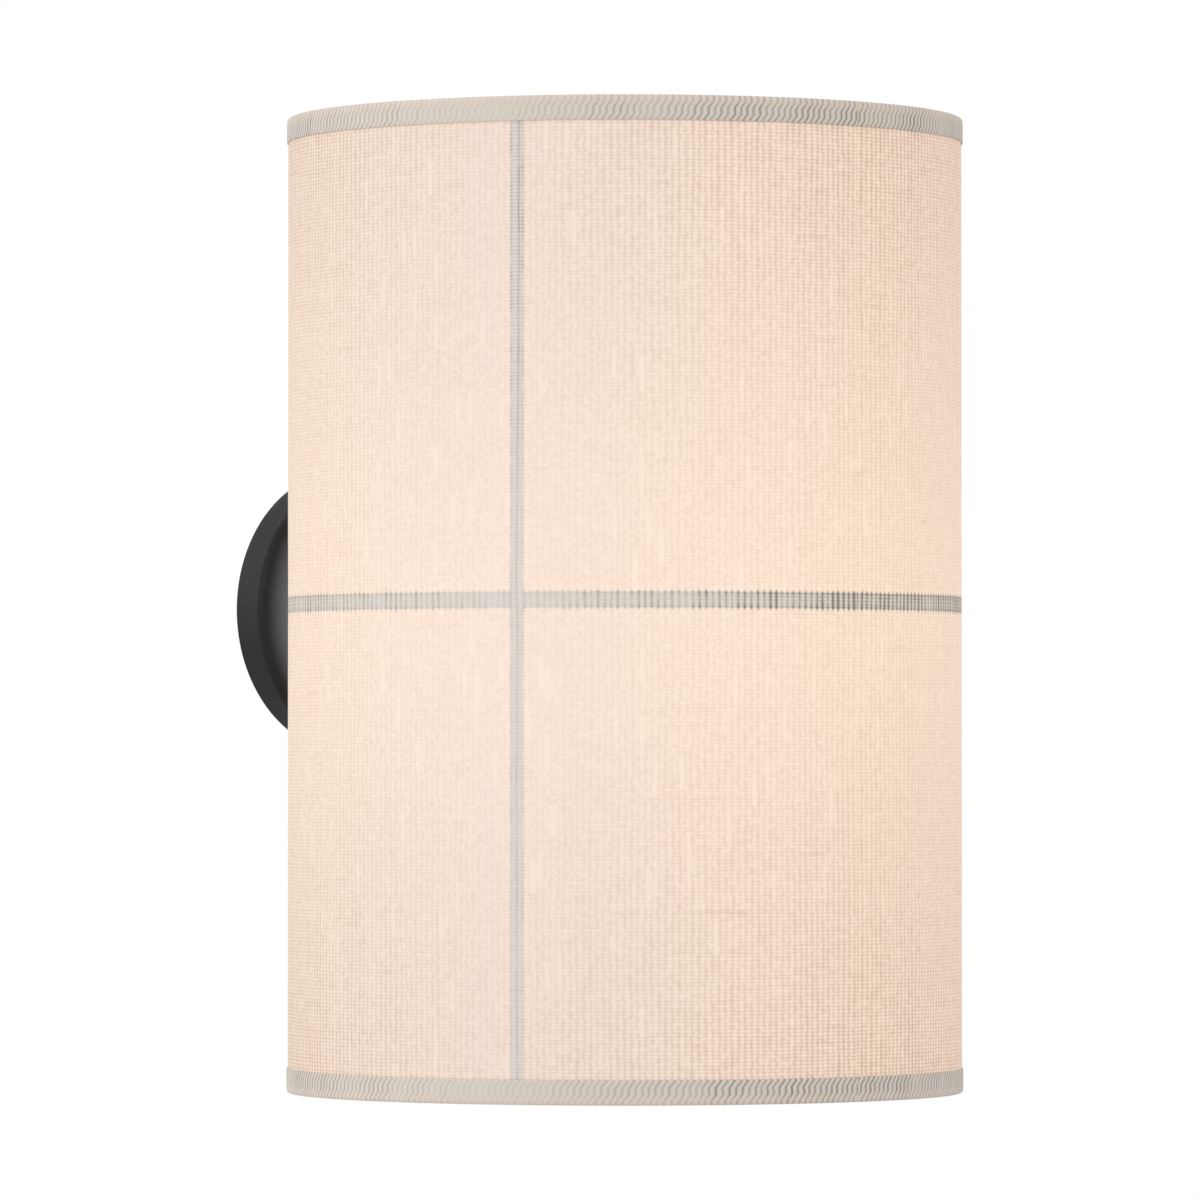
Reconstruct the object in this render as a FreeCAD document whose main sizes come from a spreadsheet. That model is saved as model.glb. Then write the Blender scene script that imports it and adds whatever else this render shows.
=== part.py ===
import FreeCAD, Part
import math
import os

import Sketcher

# Fabric shade wall light: a round plate on the wall, a short arm, and a drum shade that the arm
# holds by its back. A bent tube inside the drum carries an upright lampholder and its bulb.
#
# Row frame: origin at the centre of the wall face, +Y into the wall, +X to the viewer's right,
# +Z up. Millimetres. Pieces on the wall are drawn in the wall's own axes (X right, Y up, Z out
# of the wall) and turned by WALL_TURN. Pieces round the shade's axis are drawn on that axis.

doc = FreeCAD.newDocument("FabricShadeWallLight")
V = FreeCAD.Vector

# ---------------------------------------------------------------- driving sizes

SIZES = [
    # the drum shade
    ("shade_radius", 95.0, "outside of the cloth"),
    ("shade_height", 274.3, "over both trims"),
    ("cover_thick", 0.8, "linen on its lining"),
    ("wall_gap", 27.6, "back of the cloth to the wall"),
    ("cover_hole_gap", 0.3, "hole in the cloth round the arm sleeve, on the radius"),
    ("trim_thick", 0.45, "woven tape"),
    ("trim_width", 6.9, "tape on the outside of the shade"),
    ("trim_fold", 5.9, "tape turned down on the inside"),
    ("trim_round", 1.1, "outer edge of the folded tape"),
    # the flat-strip frame
    ("strip_thick", 2.0, "steel strip"),
    ("hoop_height", 4.8, "hoops, along the axis"),
    ("upright_width", 4.2, "uprights, round the drum"),
    ("upright_angle", 60.0, "degrees from the front to each side upright"),
    ("boss_radius", 16.0, "steel boss where the arm holds the frame"),
    ("boss_depth", 3.8, "boss, at its middle"),
    # the wall plate and its bracket
    ("plate_radius", 41.0, "round plate"),
    ("plate_depth", 11.3, "how far it stands off the wall"),
    ("plate_wall", 1.5, "pressed steel"),
    ("plate_round", 2.0, "front edge"),
    ("bracket_width", 20.0, "crossbar"),
    ("tab_gap", 2.0, "tabs to the inside of the plate's side"),
    ("bracket_thick", 1.5, "crossbar sheet"),
    ("tab_height", 8.2, "tabs, from the wall"),
    ("tab_bend", 0.8, "inside of the tabs' bend"),
    ("slot_spacing", 60.0, "wall screws, standard box spacing"),
    ("slot_width", 4.2, "slots for the wall screws"),
    ("slot_travel", 4.8, "slot centres, end to end"),
    ("cable_hole_radius", 4.3, "supply cable through the crossbar"),
    ("cable_hole_up", 9.6, "its height over the middle"),
    ("grub_radius", 2.0, "M4 grub screws that hold the plate"),
    ("grub_length", 6.0, "grub screws"),
    ("grub_sunk", 0.4, "their outer ends inside the plate's side"),
    ("grub_out", 5.4, "their distance from the wall"),
    ("grub_socket", 1.15, "hexagon socket, across its corners, halved"),
    ("grub_socket_depth", 2.2, "hexagon socket"),
    ("grub_hole_gap", 0.3, "plate's hole round a grub screw, on the radius"),
    # the bent arm and what clamps it
    ("tube_radius", 5.0, "M10 x 1 tube"),
    ("tube_wall", 1.0, "its wall"),
    ("tube_back", 5.0, "rear end of the tube to the wall"),
    ("bend_radius", 18.0, "bends of the tube, on the centre line"),
    ("thread_gap", 0.05, "nut or cap on the tube, on the radius"),
    ("slip_gap", 0.2, "plain hole round the tube, on the radius"),
    ("sleeve_radius", 9.0, "black sleeve between plate and shade"),
    ("flange_radius", 11.0, "brazed flange inside the shade"),
    ("flange_thick", 3.0, "flange"),
    ("first_run", 5.0, "flange to the first bend"),
    ("lower_run_down", 100.0, "lower run of the tube, under the middle of the shade"),
    ("nut_flats", 14.0, "M10 x 1 lock nuts, across flats"),
    ("nut_thick", 3.0, "lock nuts"),
    ("washer_radius", 8.6, "serrated washer"),
    ("washer_thick", 0.8, "serrated washer"),
    ("washer_tooth", 1.1, "depth of its teeth"),
    # electrical pieces in the plate
    ("block_width", 13.0, "two-pole terminal block"),
    ("block_height", 12.0, "along the wall, upright"),
    ("block_depth", 6.6, "out from the crossbar"),
    ("block_down", 12.0, "top of the block under the middle"),
    ("block_peg", 1.4, "its peg in the crossbar"),
    ("peg_gap", 0.1, "peg in its hole, on the radius"),
    ("clamp_radius", 1.5, "terminal clamp screws"),
    ("clamp_length", 4.0, "terminal clamp screws"),
    ("clamp_sunk", 0.4, "their heads below the block's face"),
    ("driver_slot", 0.6, "screwdriver slots, wide"),
    ("driver_slot_depth", 0.7, "screwdriver slots, deep"),
    ("earth_head_radius", 3.5, "M4 earth screw"),
    ("earth_head_thick", 2.2, "its pan head"),
    ("earth_up", 19.0, "its height over the middle"),
    ("lead_radius", 0.9, "insulated lead"),
    ("lead_offset", 2.5, "each lead from the middle of the tube"),
    ("lead_bend", 3.0, "last bend of a lead, inside the plate"),
    ("lead_back", 3.2, "its upright stretch behind the tube, from the wall"),
    # the lampholder, on the shade's axis
    ("skirt_radius", 13.8, "outer shell of the lampholder"),
    ("skirt_wall", 1.6, "its wall"),
    ("skirt_height", 33.0, "its length"),
    ("skirt_lip", 2.6, "inward lip at the mouth"),
    ("skirt_lip_thick", 1.8, "lip, along the axis"),
    ("holder_cap_height", 11.5, "domed cap under the shell"),
    ("holder_cap_neck", 8.2, "radius at its foot"),
    ("holder_cap_wall", 2.6, "its wall"),
    ("holder_cap_floor", 3.9, "its threaded floor"),
    ("insert_gap", 0.2, "porcelain insert in the shell, on the radius"),
    ("insert_base", 7.0, "its solid base"),
    ("insert_height", 19.0, "over its collar"),
    ("insert_collar", 2.0, "wall of the collar round the threaded sleeve"),
    ("insert_seat", 3.4, "top of the base, under the bulb's tip"),
    ("socket_wall", 0.35, "threaded brass sleeve"),
    ("socket_height", 20.0, "threaded brass sleeve"),
    ("socket_gap", 0.3, "bulb cap in the sleeve, on the radius"),
    ("tongue_width", 4.0, "centre contact spring"),
    ("tongue_length", 9.6, "centre contact spring, along its strip"),
    ("tongue_thick", 0.4, "centre contact spring"),
    ("tip_gap", 0.3, "tongue to the bulb's tip"),
    ("tube_in_cap", 7.0, "tube end above the foot of the cap"),
    ("wire_screw_radius", 1.3, "lead screws in the insert"),
    ("wire_screw_length", 4.6, "lead screws in the insert"),
    ("wire_screw_offset", 7.2, "lead screws from the axis"),
    # the bulb, a 45 mm globe on an E14 cap
    ("globe_radius", 22.5, "opal globe"),
    ("globe_up", 0.0, "its centre over the middle of the shade"),
    ("bulb_length", 78.0, "over all"),
    ("bulb_cap_radius", 6.95, "E14 thread, outside"),
    ("bulb_cap_height", 17.5, "metal cap"),
    ("bulb_cap_wall", 0.65, "metal cap, over its thread"),
    ("bulb_cap_lip", 7.6, "radius of the cap's upper rim"),
    ("bulb_rim_height", 1.3, "the cap's upper rim, and the slope under it"),
    ("insulator_height", 3.4, "bead under the cap"),
    ("insulator_foot", 3.05, "radius of the bead at its foot"),
    ("insulator_top", 6.65, "radius of the bead under the cap"),
    ("tip_radius", 2.4, "centre contact of the bulb"),
    ("tip_height", 1.3, "centre contact of the bulb"),
    ("neck_radius", 7.3, "globe's neck where it leaves the cap"),
    ("neck_in_cap", 8.8, "globe's neck down inside the cap"),
]

sheet = doc.addObject("Spreadsheet::Sheet", "sizes")
for row, (alias, number, note) in enumerate(SIZES, start=1):
    sheet.set(f"A{row}", alias)
    sheet.set(f"B{row}", str(number))
    sheet.setAlias(f"B{row}", alias)
    sheet.set(f"C{row}", note)
doc.recompute()


def value(formula):
    """The number that a formula on the sheet comes to."""
    return float(sheet.evalExpression(formula.replace("sizes.", "")))


# ---------------------------------------------------------------- formulas used in many places

AXIS_OUT = "(sizes.wall_gap + sizes.shade_radius)"
COVER_INSIDE = "(sizes.shade_radius - sizes.cover_thick)"
HOOP_INSIDE = f"({COVER_INSIDE} - sizes.strip_thick)"
RIM_UP = "(sizes.shade_height / 2)"
HOOP_END = f"({RIM_UP} - sizes.trim_thick)"
BOSS_FLAT = f"({COVER_INSIDE} - sizes.boss_depth)"
FLANGE_OUT = f"({AXIS_OUT} - {BOSS_FLAT})"
TUBE_HOLE = "(sizes.tube_radius + sizes.slip_gap)"
TUBE_THREAD = "(sizes.tube_radius + sizes.thread_gap)"
PLATE_INSIDE = "(sizes.plate_depth - sizes.plate_wall)"
TIP_UP = "(sizes.globe_up + sizes.globe_radius - sizes.bulb_length)"
INSERT_TOP_UP = f"({TIP_UP} - sizes.insert_seat)"
INSERT_FOOT_UP = f"({INSERT_TOP_UP} - sizes.insert_base)"
CAP_FOOT_UP = f"({INSERT_FOOT_UP} - sizes.holder_cap_height)"
TUBE_TOP_UP = f"({CAP_FOOT_UP} + sizes.tube_in_cap)"
SOCKET_RADIUS = "(sizes.bulb_cap_radius + sizes.socket_gap)"

WALL_TURN = FreeCAD.Rotation(V(1, 0, 0), 90)


# ---------------------------------------------------------------- ways of making

def on_wall(piece, out="0", right="0"):
    """Turn a piece drawn in the wall's axes to the row frame, that far out of the wall."""
    piece.Placement = FreeCAD.Placement(V(0, 0, 0), WALL_TURN)
    piece.setExpression("Placement.Base.y", f"-({out})")
    piece.setExpression("Placement.Base.x", right)
    return piece


def on_axis(piece, up="0"):
    """Stand a piece on the shade's axis, at a height over the shade's middle."""
    piece.setExpression("Placement.Base.y", f"-{AXIS_OUT}")
    piece.setExpression("Placement.Base.z", up)
    return piece


def body(label):
    """An empty body with its own label."""
    piece = doc.addObject("PartDesign::Body", label)
    piece.Label = label
    return piece


def sketch_on(piece, plane, name, offset=None):
    """A sketch of the body on one of its own origin planes, moved along the normal if asked."""
    sketch = piece.newObject("Sketcher::SketchObject", name)
    support = next(f for f in piece.Origin.OriginFeatures if f.Role == plane)
    sketch.AttachmentSupport = [(support, "")]
    sketch.MapMode = "FlatFace"
    if offset:
        sketch.setExpression("AttachmentOffset.Base.z", offset)
    return sketch


def pin_point(sketch, geometry, end, spot):
    """Fix one end of a line or arc, or a centre, at a pair of formulas."""
    for kind, formula in zip(("DistanceX", "DistanceY"), spot):
        index = sketch.addConstraint(
            Sketcher.Constraint(kind, -1, 1, geometry, end, value(formula)))
        sketch.setExpression(f"Constraints[{index}]", formula)


def pin_radius(sketch, geometry, formula):
    """Give a circle or an arc its radius."""
    index = sketch.addConstraint(Sketcher.Constraint("Radius", geometry, value(formula)))
    sketch.setExpression(f"Constraints[{index}]", formula)


def point(spot):
    """The place of a pair of formulas in a sketch."""
    return V(value(spot[0]), value(spot[1]), 0)


def arc_between(start, end, radius, left):
    """The arc under half a circle from start to end, that turns left or right, and its ends."""
    chord = end - start
    half = chord.Length / 2
    rise = math.sqrt(max(radius * radius - half * half, 0.0))
    side = V(-chord.y, chord.x, 0).normalize()
    centre = start + chord * 0.5 + side * (rise if left else -rise)
    first, last = (start, end) if left else (end, start)
    angles = [math.atan2(p.y - centre.y, p.x - centre.x) for p in (first, last)]
    arc = Part.ArcOfCircle(Part.Circle(centre, V(0, 0, 1), radius), *angles)
    return arc, ((1, 2) if left else (2, 1))


def draw(sketch, steps, closed=True):
    """Draw an outline or a path through the steps.

    A step is a pair of formulas, reached by a line, or a pair with a radius and "left" or
    "right", reached by an arc of that radius that turns that way.
    """
    count = len(steps) if closed else len(steps) - 1
    ends = []
    for index in range(count):
        start, step = steps[index], steps[(index + 1) % len(steps)]
        if len(step) == 2:
            geometry = sketch.addGeometry(Part.LineSegment(point(start), point(step)))
            ends.append((geometry, 1, 2))
        else:
            arc, (first, last) = arc_between(
                point(start), point(step), value(step[2]), step[3] == "left")
            geometry = sketch.addGeometry(arc)
            pin_radius(sketch, geometry, step[2])
            ends.append((geometry, first, last))
    for index in range(count):
        geometry, first, last = ends[index]
        pin_point(sketch, geometry, first, steps[index])
        if closed or index < count - 1:
            following, begin, _ = ends[(index + 1) % count]
            sketch.addConstraint(
                Sketcher.Constraint("Coincident", geometry, last, following, begin))
        else:
            pin_point(sketch, geometry, last, steps[-1])


def circle_in(sketch, spot, radius):
    """A circle in a sketch."""
    geometry = sketch.addGeometry(Part.Circle(point(spot), V(0, 0, 1), value(radius)))
    pin_point(sketch, geometry, 3, spot)
    pin_radius(sketch, geometry, radius)


def slot_in(sketch, up, travel, width):
    """An upright slot on the sketch's Y axis, with round ends."""
    radius = f"{width} / 2"
    r = value(radius)
    tops = [point(("0", f"{up} + {travel} / 2")), point(("0", f"{up} - {travel} / 2"))]
    upper = sketch.addGeometry(
        Part.ArcOfCircle(Part.Circle(tops[0], V(0, 0, 1), r), 0, math.pi))
    lower = sketch.addGeometry(
        Part.ArcOfCircle(Part.Circle(tops[1], V(0, 0, 1), r), math.pi, 2 * math.pi))
    left = sketch.addGeometry(Part.LineSegment(tops[0] - V(r, 0, 0), tops[1] - V(r, 0, 0)))
    right = sketch.addGeometry(Part.LineSegment(tops[1] + V(r, 0, 0), tops[0] + V(r, 0, 0)))
    for first, end, second, begin in (
            (upper, 2, left, 1), (left, 2, lower, 1), (lower, 2, right, 1), (right, 2, upper, 1)):
        sketch.addConstraint(Sketcher.Constraint("Tangent", first, end, second, begin))
    sketch.addConstraint(Sketcher.Constraint("Vertical", left))
    pin_point(sketch, upper, 3, ("0", f"{up} + {travel} / 2"))
    pin_point(sketch, lower, 3, ("0", f"{up} - {travel} / 2"))
    pin_radius(sketch, upper, radius)


def turned(label, steps):
    """A body turned about its own Z from a half outline of (radius, height) steps."""
    piece = body(label)
    sketch = sketch_on(piece, "XZ_Plane", f"{label}_outline")
    draw(sketch, steps)
    turn = piece.newObject("PartDesign::Revolution", f"{label}_turn")
    turn.Profile = sketch
    turn.ReferenceAxis = (sketch, ["V_Axis"])
    turn.Angle = 360
    piece.Tip = turn
    return piece


def cut_through(piece, sketch, name):
    """Cut a sketch through the body both ways from its plane."""
    pocket = piece.newObject("PartDesign::Pocket", name)
    pocket.Profile = sketch
    pocket.Type = "ThroughAll"
    pocket.SideType = "Symmetric"
    piece.Tip = pocket
    return pocket


def cylinder(name, radius, height, angle=None):
    """A plain cylinder on the Z axis."""
    shape = doc.addObject("Part::Cylinder", name)
    shape.setExpression("Radius", radius)
    shape.setExpression("Height", height)
    if angle:
        shape.setExpression("Angle", angle)
    return shape


def cut(label, base, tool):
    """One shape less another."""
    result = doc.addObject("Part::Cut", label)
    result.Label = label
    result.Base = base
    result.Tool = tool
    return result


def band(label, outside, inside, height, angle=None):
    """A cylinder's wall, all round or over an angle."""
    return cut(label, cylinder(f"{label}_outside", outside, height, angle),
               cylinder(f"{label}_inside", inside, height, angle))


def hexagon_nut(label):
    """An M10 x 1 lock nut on its own Z axis."""
    piece = body(label)
    sketch = sketch_on(piece, "XY_Plane", f"{label}_flats")
    draw(sketch, [(f"sizes.nut_flats / sqrt(3) * cos({60 * k})",
                   f"sizes.nut_flats / sqrt(3) * sin({60 * k})") for k in range(6)])
    circle_in(sketch, ("0", "0"), TUBE_THREAD)
    pad = piece.newObject("PartDesign::Pad", f"{label}_pad")
    pad.Profile = sketch
    pad.setExpression("Length", "sizes.nut_thick")
    piece.Tip = pad
    return piece


def along(corner, neighbour, length):
    """The formulas of the point that far from a corner, on the straight leg to its neighbour."""
    spot = []
    for here, there in zip(corner, neighbour):
        gap = value(there) - value(here)
        if here == there:
            spot.append(here)
        else:
            spot.append(f"{here} {'+' if gap > 0 else '-'} {length}")
    return spot


def bent_path(sketch, corners, bends):
    """Draw a path of square legs in a sketch, with an arc at each corner between its ends."""
    steps = [corners[0]]
    for before, corner, after, bend in zip(corners, corners[1:], corners[2:], bends):
        first, last = along(corner, before, bend), along(corner, after, bend)
        into, out = point(corner) - point(before), point(after) - point(corner)
        turn = "left" if into.x * out.y - into.y * out.x > 0 else "right"
        steps += [tuple(first), (last[0], last[1], bend, turn)]
    steps.append(corners[-1])
    draw(sketch, steps, closed=False)


def bent_rod(label, corners, bends, radii, plane):
    """A rod or tube along a path of (up, out) corners in the wall's axes.

    The path starts square to the plane, and radii are the outside and, for a tube, the inside.
    """
    piece = body(label)
    path = sketch_on(piece, "YZ_Plane", f"{label}_path")
    bent_path(path, corners, bends)
    doc.recompute()
    edges = [f"Edge{k + 1}" for k in range(len(path.Shape.Edges))]
    up, out = corners[0]
    spot, offset = (("0", up), out) if plane == "XY_Plane" else (("0", out), f"-({up})")
    kinds = ("PartDesign::AdditivePipe", "PartDesign::SubtractivePipe")
    for kind, radius, name in zip(kinds, radii, ("outside", "bore")):
        ring = sketch_on(piece, plane, f"{label}_{name}", offset)
        circle_in(ring, spot, radius)
        pipe = piece.newObject(kind, f"{label}_{name}_sweep")
        pipe.Profile = ring
        pipe.Spine = (path, edges)
        piece.Tip = pipe
        doc.recompute()
    return piece


def box(name, width, height, depth):
    """A block centred on X and Y that rises from the XY plane."""
    shape = doc.addObject("Part::Box", name)
    for side, size in (("Length", width), ("Width", height), ("Height", depth)):
        shape.setExpression(side, size)
    shape.setExpression("Placement.Base.x", f"-({width}) / 2")
    shape.setExpression("Placement.Base.y", f"-({height}) / 2")
    return shape


def moved(shape, x="0", y="0", z="0"):
    """Set a shape's place from formulas."""
    for axis, formula in zip("xyz", (x, y, z)):
        shape.setExpression(f"Placement.Base.{axis}", formula)
    return shape


def group(kind, label, shapes):
    """Several shapes fused, or kept as separate solids of one node."""
    result = doc.addObject(kind, label)
    result.Label = label
    if kind == "Part::Compound":
        result.Links = shapes
    else:
        result.Shapes = shapes
    return result


def slotted_screw(name, radius, length, head_slot="sizes.driver_slot"):
    """A plain screw on its Z axis with a screwdriver slot in its upper end."""
    shank = cylinder(f"{name}_shank", radius, length)
    slot = box(f"{name}_slot", f"3 * ({radius})", head_slot, "2 * sizes.driver_slot_depth")
    slot.setExpression("Placement.Base.z", f"{length} - sizes.driver_slot_depth")
    return cut(name, shank, slot)


# ---------------------------------------------------------------- the shade's frame

def hoop(label, up):
    """A flat steel hoop against the inside of the cloth, from that height up."""
    return on_axis(band(label, COVER_INSIDE, HOOP_INSIDE, "sizes.hoop_height"), up)


def boss_cylinder(name, radius, start, length):
    """A cylinder out of the shade's axis towards the wall, for the boss and what passes it."""
    shape = cylinder(name, radius, length)
    shape.Placement = FreeCAD.Placement(V(0, 0, 0), FreeCAD.Rotation(V(1, 0, 0), -90))
    shape.setExpression("Placement.Base.y", start)
    return shape


frame_top_hoop = hoop("frame_top_hoop", f"{HOOP_END} - sizes.hoop_height")
frame_bottom_hoop = hoop("frame_bottom_hoop", f"-{HOOP_END}")

middle_ring = band("middle_ring", COVER_INSIDE, HOOP_INSIDE, "sizes.hoop_height")
middle_ring.setExpression("Placement.Base.z", "-sizes.hoop_height / 2")
frame_middle_hoop = on_axis(cut(
    "frame_middle_hoop", middle_ring,
    boss_cylinder("middle_hoop_gap", "sizes.boss_radius", "0", "sizes.shade_radius")))

UPRIGHTS = {"left": "-sizes.upright_angle", "right": "sizes.upright_angle", "back": "180"}
STRIP_ANGLE = f"sizes.upright_width / {COVER_INSIDE} * 180 / pi"


def upright(side, half):
    """One flat upright between two hoops, butted to the boss where it stands at the back."""
    label = f"upright_{side}_{half}"
    height = f"{HOOP_END} - sizes.hoop_height - sizes.hoop_height / 2"
    foot = "sizes.hoop_height / 2" if half == "upper" else f"-{HOOP_END} + sizes.hoop_height"
    strip = band(f"{label}_strip" if side == "back" else label,
                 COVER_INSIDE, HOOP_INSIDE, height, STRIP_ANGLE)
    # the strip starts on the X axis, and the front of the drum looks along -Y
    strip.Placement = FreeCAD.Placement(V(0, 0, 0), FreeCAD.Rotation(V(0, 0, 1), 90))
    strip.setExpression("Placement.Rotation.Angle",
                        f"{UPRIGHTS[side]} + 270 - {STRIP_ANGLE} / 2")
    if side != "back":
        return on_axis(strip, foot)
    strip.setExpression("Placement.Base.z", foot)
    return on_axis(cut(label, strip, boss_cylinder(
        f"{label}_gap", "sizes.boss_radius", "0", "sizes.shade_radius")))


uprights = [upright(side, half) for side in UPRIGHTS for half in ("upper", "lower")]

boss_block = doc.addObject("Part::Common", "boss_block")
boss_drum = cylinder("boss_drum", COVER_INSIDE, "4 * sizes.boss_radius")
boss_drum.setExpression("Placement.Base.z", "-2 * sizes.boss_radius")
boss_block.Base = boss_drum
boss_block.Tool = boss_cylinder("boss_round", "sizes.boss_radius", BOSS_FLAT, "sizes.shade_radius")
frame_boss = on_axis(cut("frame_boss", boss_block, boss_cylinder(
    "boss_bore", TUBE_HOLE, "0", "2 * sizes.shade_radius")))

# ---------------------------------------------------------------- the shade's cloth

COVER_HEIGHT = f"2 * {HOOP_END}"
cover_wall = band("cover_wall", "sizes.shade_radius", COVER_INSIDE, COVER_HEIGHT)
cover_wall.setExpression("Placement.Base.z", f"-{HOOP_END}")
shade_cover = on_axis(cut("shade_cover", cover_wall, boss_cylinder(
    "cover_hole", "sizes.sleeve_radius + sizes.cover_hole_gap", "0", "2 * sizes.shade_radius")))

TRIM_OUTSIDE = "(sizes.shade_radius + sizes.trim_thick)"
TRIM_INSIDE = f"({HOOP_INSIDE} - sizes.trim_thick)"


def trim(label, sign):
    """The tape folded over an edge of the shade, drawn with its fold up or down."""
    edge, step = f"{sign}{RIM_UP}", "-" if sign == "" else "+"
    turn = "right" if sign == "" else "left"
    return on_axis(turned(label, [
        (TRIM_OUTSIDE, f"{edge} {step} sizes.trim_width"),
        ("sizes.shade_radius", f"{edge} {step} sizes.trim_width"),
        ("sizes.shade_radius", f"{edge} {step} sizes.trim_thick"),
        (HOOP_INSIDE, f"{edge} {step} sizes.trim_thick"),
        (HOOP_INSIDE, f"{edge} {step} sizes.trim_fold"),
        (TRIM_INSIDE, f"{edge} {step} sizes.trim_fold"),
        (TRIM_INSIDE, edge),
        (f"{TRIM_OUTSIDE} - sizes.trim_round", edge),
        (TRIM_OUTSIDE, f"{edge} {step} sizes.trim_round", "sizes.trim_round", turn),
    ]))


top_trim = trim("top_trim", "")
bottom_trim = trim("bottom_trim", "-")

# ---------------------------------------------------------------- the wall plate and its bracket

wall_plate = turned("wall_plate", [
    (TUBE_HOLE, "sizes.plate_depth"),
    (TUBE_HOLE, PLATE_INSIDE),
    ("sizes.plate_radius - sizes.plate_wall", PLATE_INSIDE),
    ("sizes.plate_radius - sizes.plate_wall", "0"),
    ("sizes.plate_radius", "0"),
    ("sizes.plate_radius", "sizes.plate_depth - sizes.plate_round"),
    ("sizes.plate_radius - sizes.plate_round", "sizes.plate_depth", "sizes.plate_round", "left"),
])
plate_holes = sketch_on(wall_plate, "XZ_Plane", "plate_grub_holes")
circle_in(plate_holes, ("0", "sizes.grub_out"), "sizes.grub_radius + sizes.grub_hole_gap")
cut_through(wall_plate, plate_holes, "plate_grub_pocket")
on_wall(wall_plate)

HALF_BAR = "(sizes.plate_radius - sizes.plate_wall - sizes.tab_gap)"
OUTER_BEND = "(sizes.tab_bend + sizes.bracket_thick)"
TAB_FACE = f"({HALF_BAR} - sizes.bracket_thick)"
BLOCK_MIDDLE = "(sizes.block_down + sizes.block_height / 2)"

wall_bracket = body("wall_bracket")
bar_outline = sketch_on(wall_bracket, "YZ_Plane", "bracket_outline")
draw(bar_outline, [
    (f"-{HALF_BAR} + {OUTER_BEND}", "0", OUTER_BEND, "left"),
    (f"{HALF_BAR} - {OUTER_BEND}", "0"),
    (HALF_BAR, OUTER_BEND, OUTER_BEND, "left"),
    (HALF_BAR, "sizes.tab_height"),
    (TAB_FACE, "sizes.tab_height"),
    (TAB_FACE, OUTER_BEND),
    (f"{HALF_BAR} - {OUTER_BEND}", "sizes.bracket_thick", "sizes.tab_bend", "right"),
    (f"-{HALF_BAR} + {OUTER_BEND}", "sizes.bracket_thick"),
    (f"-{TAB_FACE}", OUTER_BEND, "sizes.tab_bend", "right"),
    (f"-{TAB_FACE}", "sizes.tab_height"),
    (f"-{HALF_BAR}", "sizes.tab_height"),
    (f"-{HALF_BAR}", OUTER_BEND),
])
bar_pad = wall_bracket.newObject("PartDesign::Pad", "bracket_pad")
bar_pad.Profile = bar_outline
bar_pad.SideType = "Symmetric"
bar_pad.setExpression("Length", "sizes.bracket_width")
wall_bracket.Tip = bar_pad
face_holes = sketch_on(wall_bracket, "XY_Plane", "bracket_face_holes")
slot_in(face_holes, "sizes.slot_spacing / 2", "sizes.slot_travel", "sizes.slot_width")
slot_in(face_holes, "-sizes.slot_spacing / 2", "sizes.slot_travel", "sizes.slot_width")
circle_in(face_holes, ("0", "sizes.cable_hole_up"), "sizes.cable_hole_radius")
circle_in(face_holes, ("0", "sizes.earth_up"), "sizes.grub_radius + sizes.thread_gap")
circle_in(face_holes, ("0", f"-{BLOCK_MIDDLE}"), "sizes.block_peg + sizes.peg_gap")
cut_through(wall_bracket, face_holes, "bracket_face_pocket")
tab_holes = sketch_on(wall_bracket, "XZ_Plane", "bracket_tab_holes")
circle_in(tab_holes, ("0", "sizes.grub_out"), "sizes.grub_radius + sizes.thread_gap")
cut_through(wall_bracket, tab_holes, "bracket_tab_pocket")
on_wall(wall_bracket)


def grub_screw(name, turn):
    """An M4 grub screw through a tab, standing up or down the wall, with a hexagon socket."""
    shank = cylinder(f"{name}_shank", "sizes.grub_radius", "sizes.grub_length")
    socket = doc.addObject("Part::Prism", f"{name}_socket")
    socket.Polygon = 6
    socket.setExpression("Circumradius", "sizes.grub_socket")
    socket.setExpression("Height", "2 * sizes.grub_socket_depth")
    socket.setExpression("Placement.Base.z", "sizes.grub_length - sizes.grub_socket_depth")
    screw = cut(name, shank, socket)
    screw.Placement = FreeCAD.Placement(V(0, 0, 0), FreeCAD.Rotation(V(1, 0, 0), turn))
    inner_end = "(sizes.plate_radius - sizes.grub_sunk - sizes.grub_length)"
    screw.setExpression("Placement.Base.y", inner_end if turn < 0 else f"-{inner_end}")
    screw.setExpression("Placement.Base.z", "sizes.grub_out")
    return screw


plate_screws = on_wall(group("Part::Compound", "plate_screws", [
    grub_screw("upper_grub", -90), grub_screw("lower_grub", 90)]))

# ---------------------------------------------------------------- the arm and what clamps it

NUT_OUT = f"{PLATE_INSIDE} - sizes.washer_thick - sizes.nut_thick"
arm_nut = on_wall(hexagon_nut("arm_nut"), NUT_OUT)

arm_washer = body("arm_washer")
washer_ring = sketch_on(arm_washer, "XY_Plane", "washer_ring")
circle_in(washer_ring, ("0", "0"), "sizes.washer_radius")
circle_in(washer_ring, ("0", "0"), TUBE_HOLE)
washer_pad = arm_washer.newObject("PartDesign::Pad", "washer_pad")
washer_pad.Profile = washer_ring
washer_pad.setExpression("Length", "sizes.washer_thick")
arm_washer.Tip = washer_pad
tooth_gap = sketch_on(arm_washer, "XY_Plane", "washer_tooth_gap")
draw(tooth_gap, [
    ("sizes.washer_radius - sizes.washer_tooth", "0"),
    ("sizes.washer_radius + sizes.washer_tooth", "-sizes.washer_tooth"),
    ("sizes.washer_radius + sizes.washer_tooth", "sizes.washer_tooth"),
])
cut_through(arm_washer, tooth_gap, "washer_tooth_pocket")
WASHER_TEETH = 16
doc.recompute()
teeth = arm_washer.newObject("PartDesign::PolarPattern", "washer_teeth")
teeth.Originals = [doc.getObject("washer_tooth_pocket")]
teeth.Axis = (tooth_gap, ["N_Axis"])
teeth.Angle = 360
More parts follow.
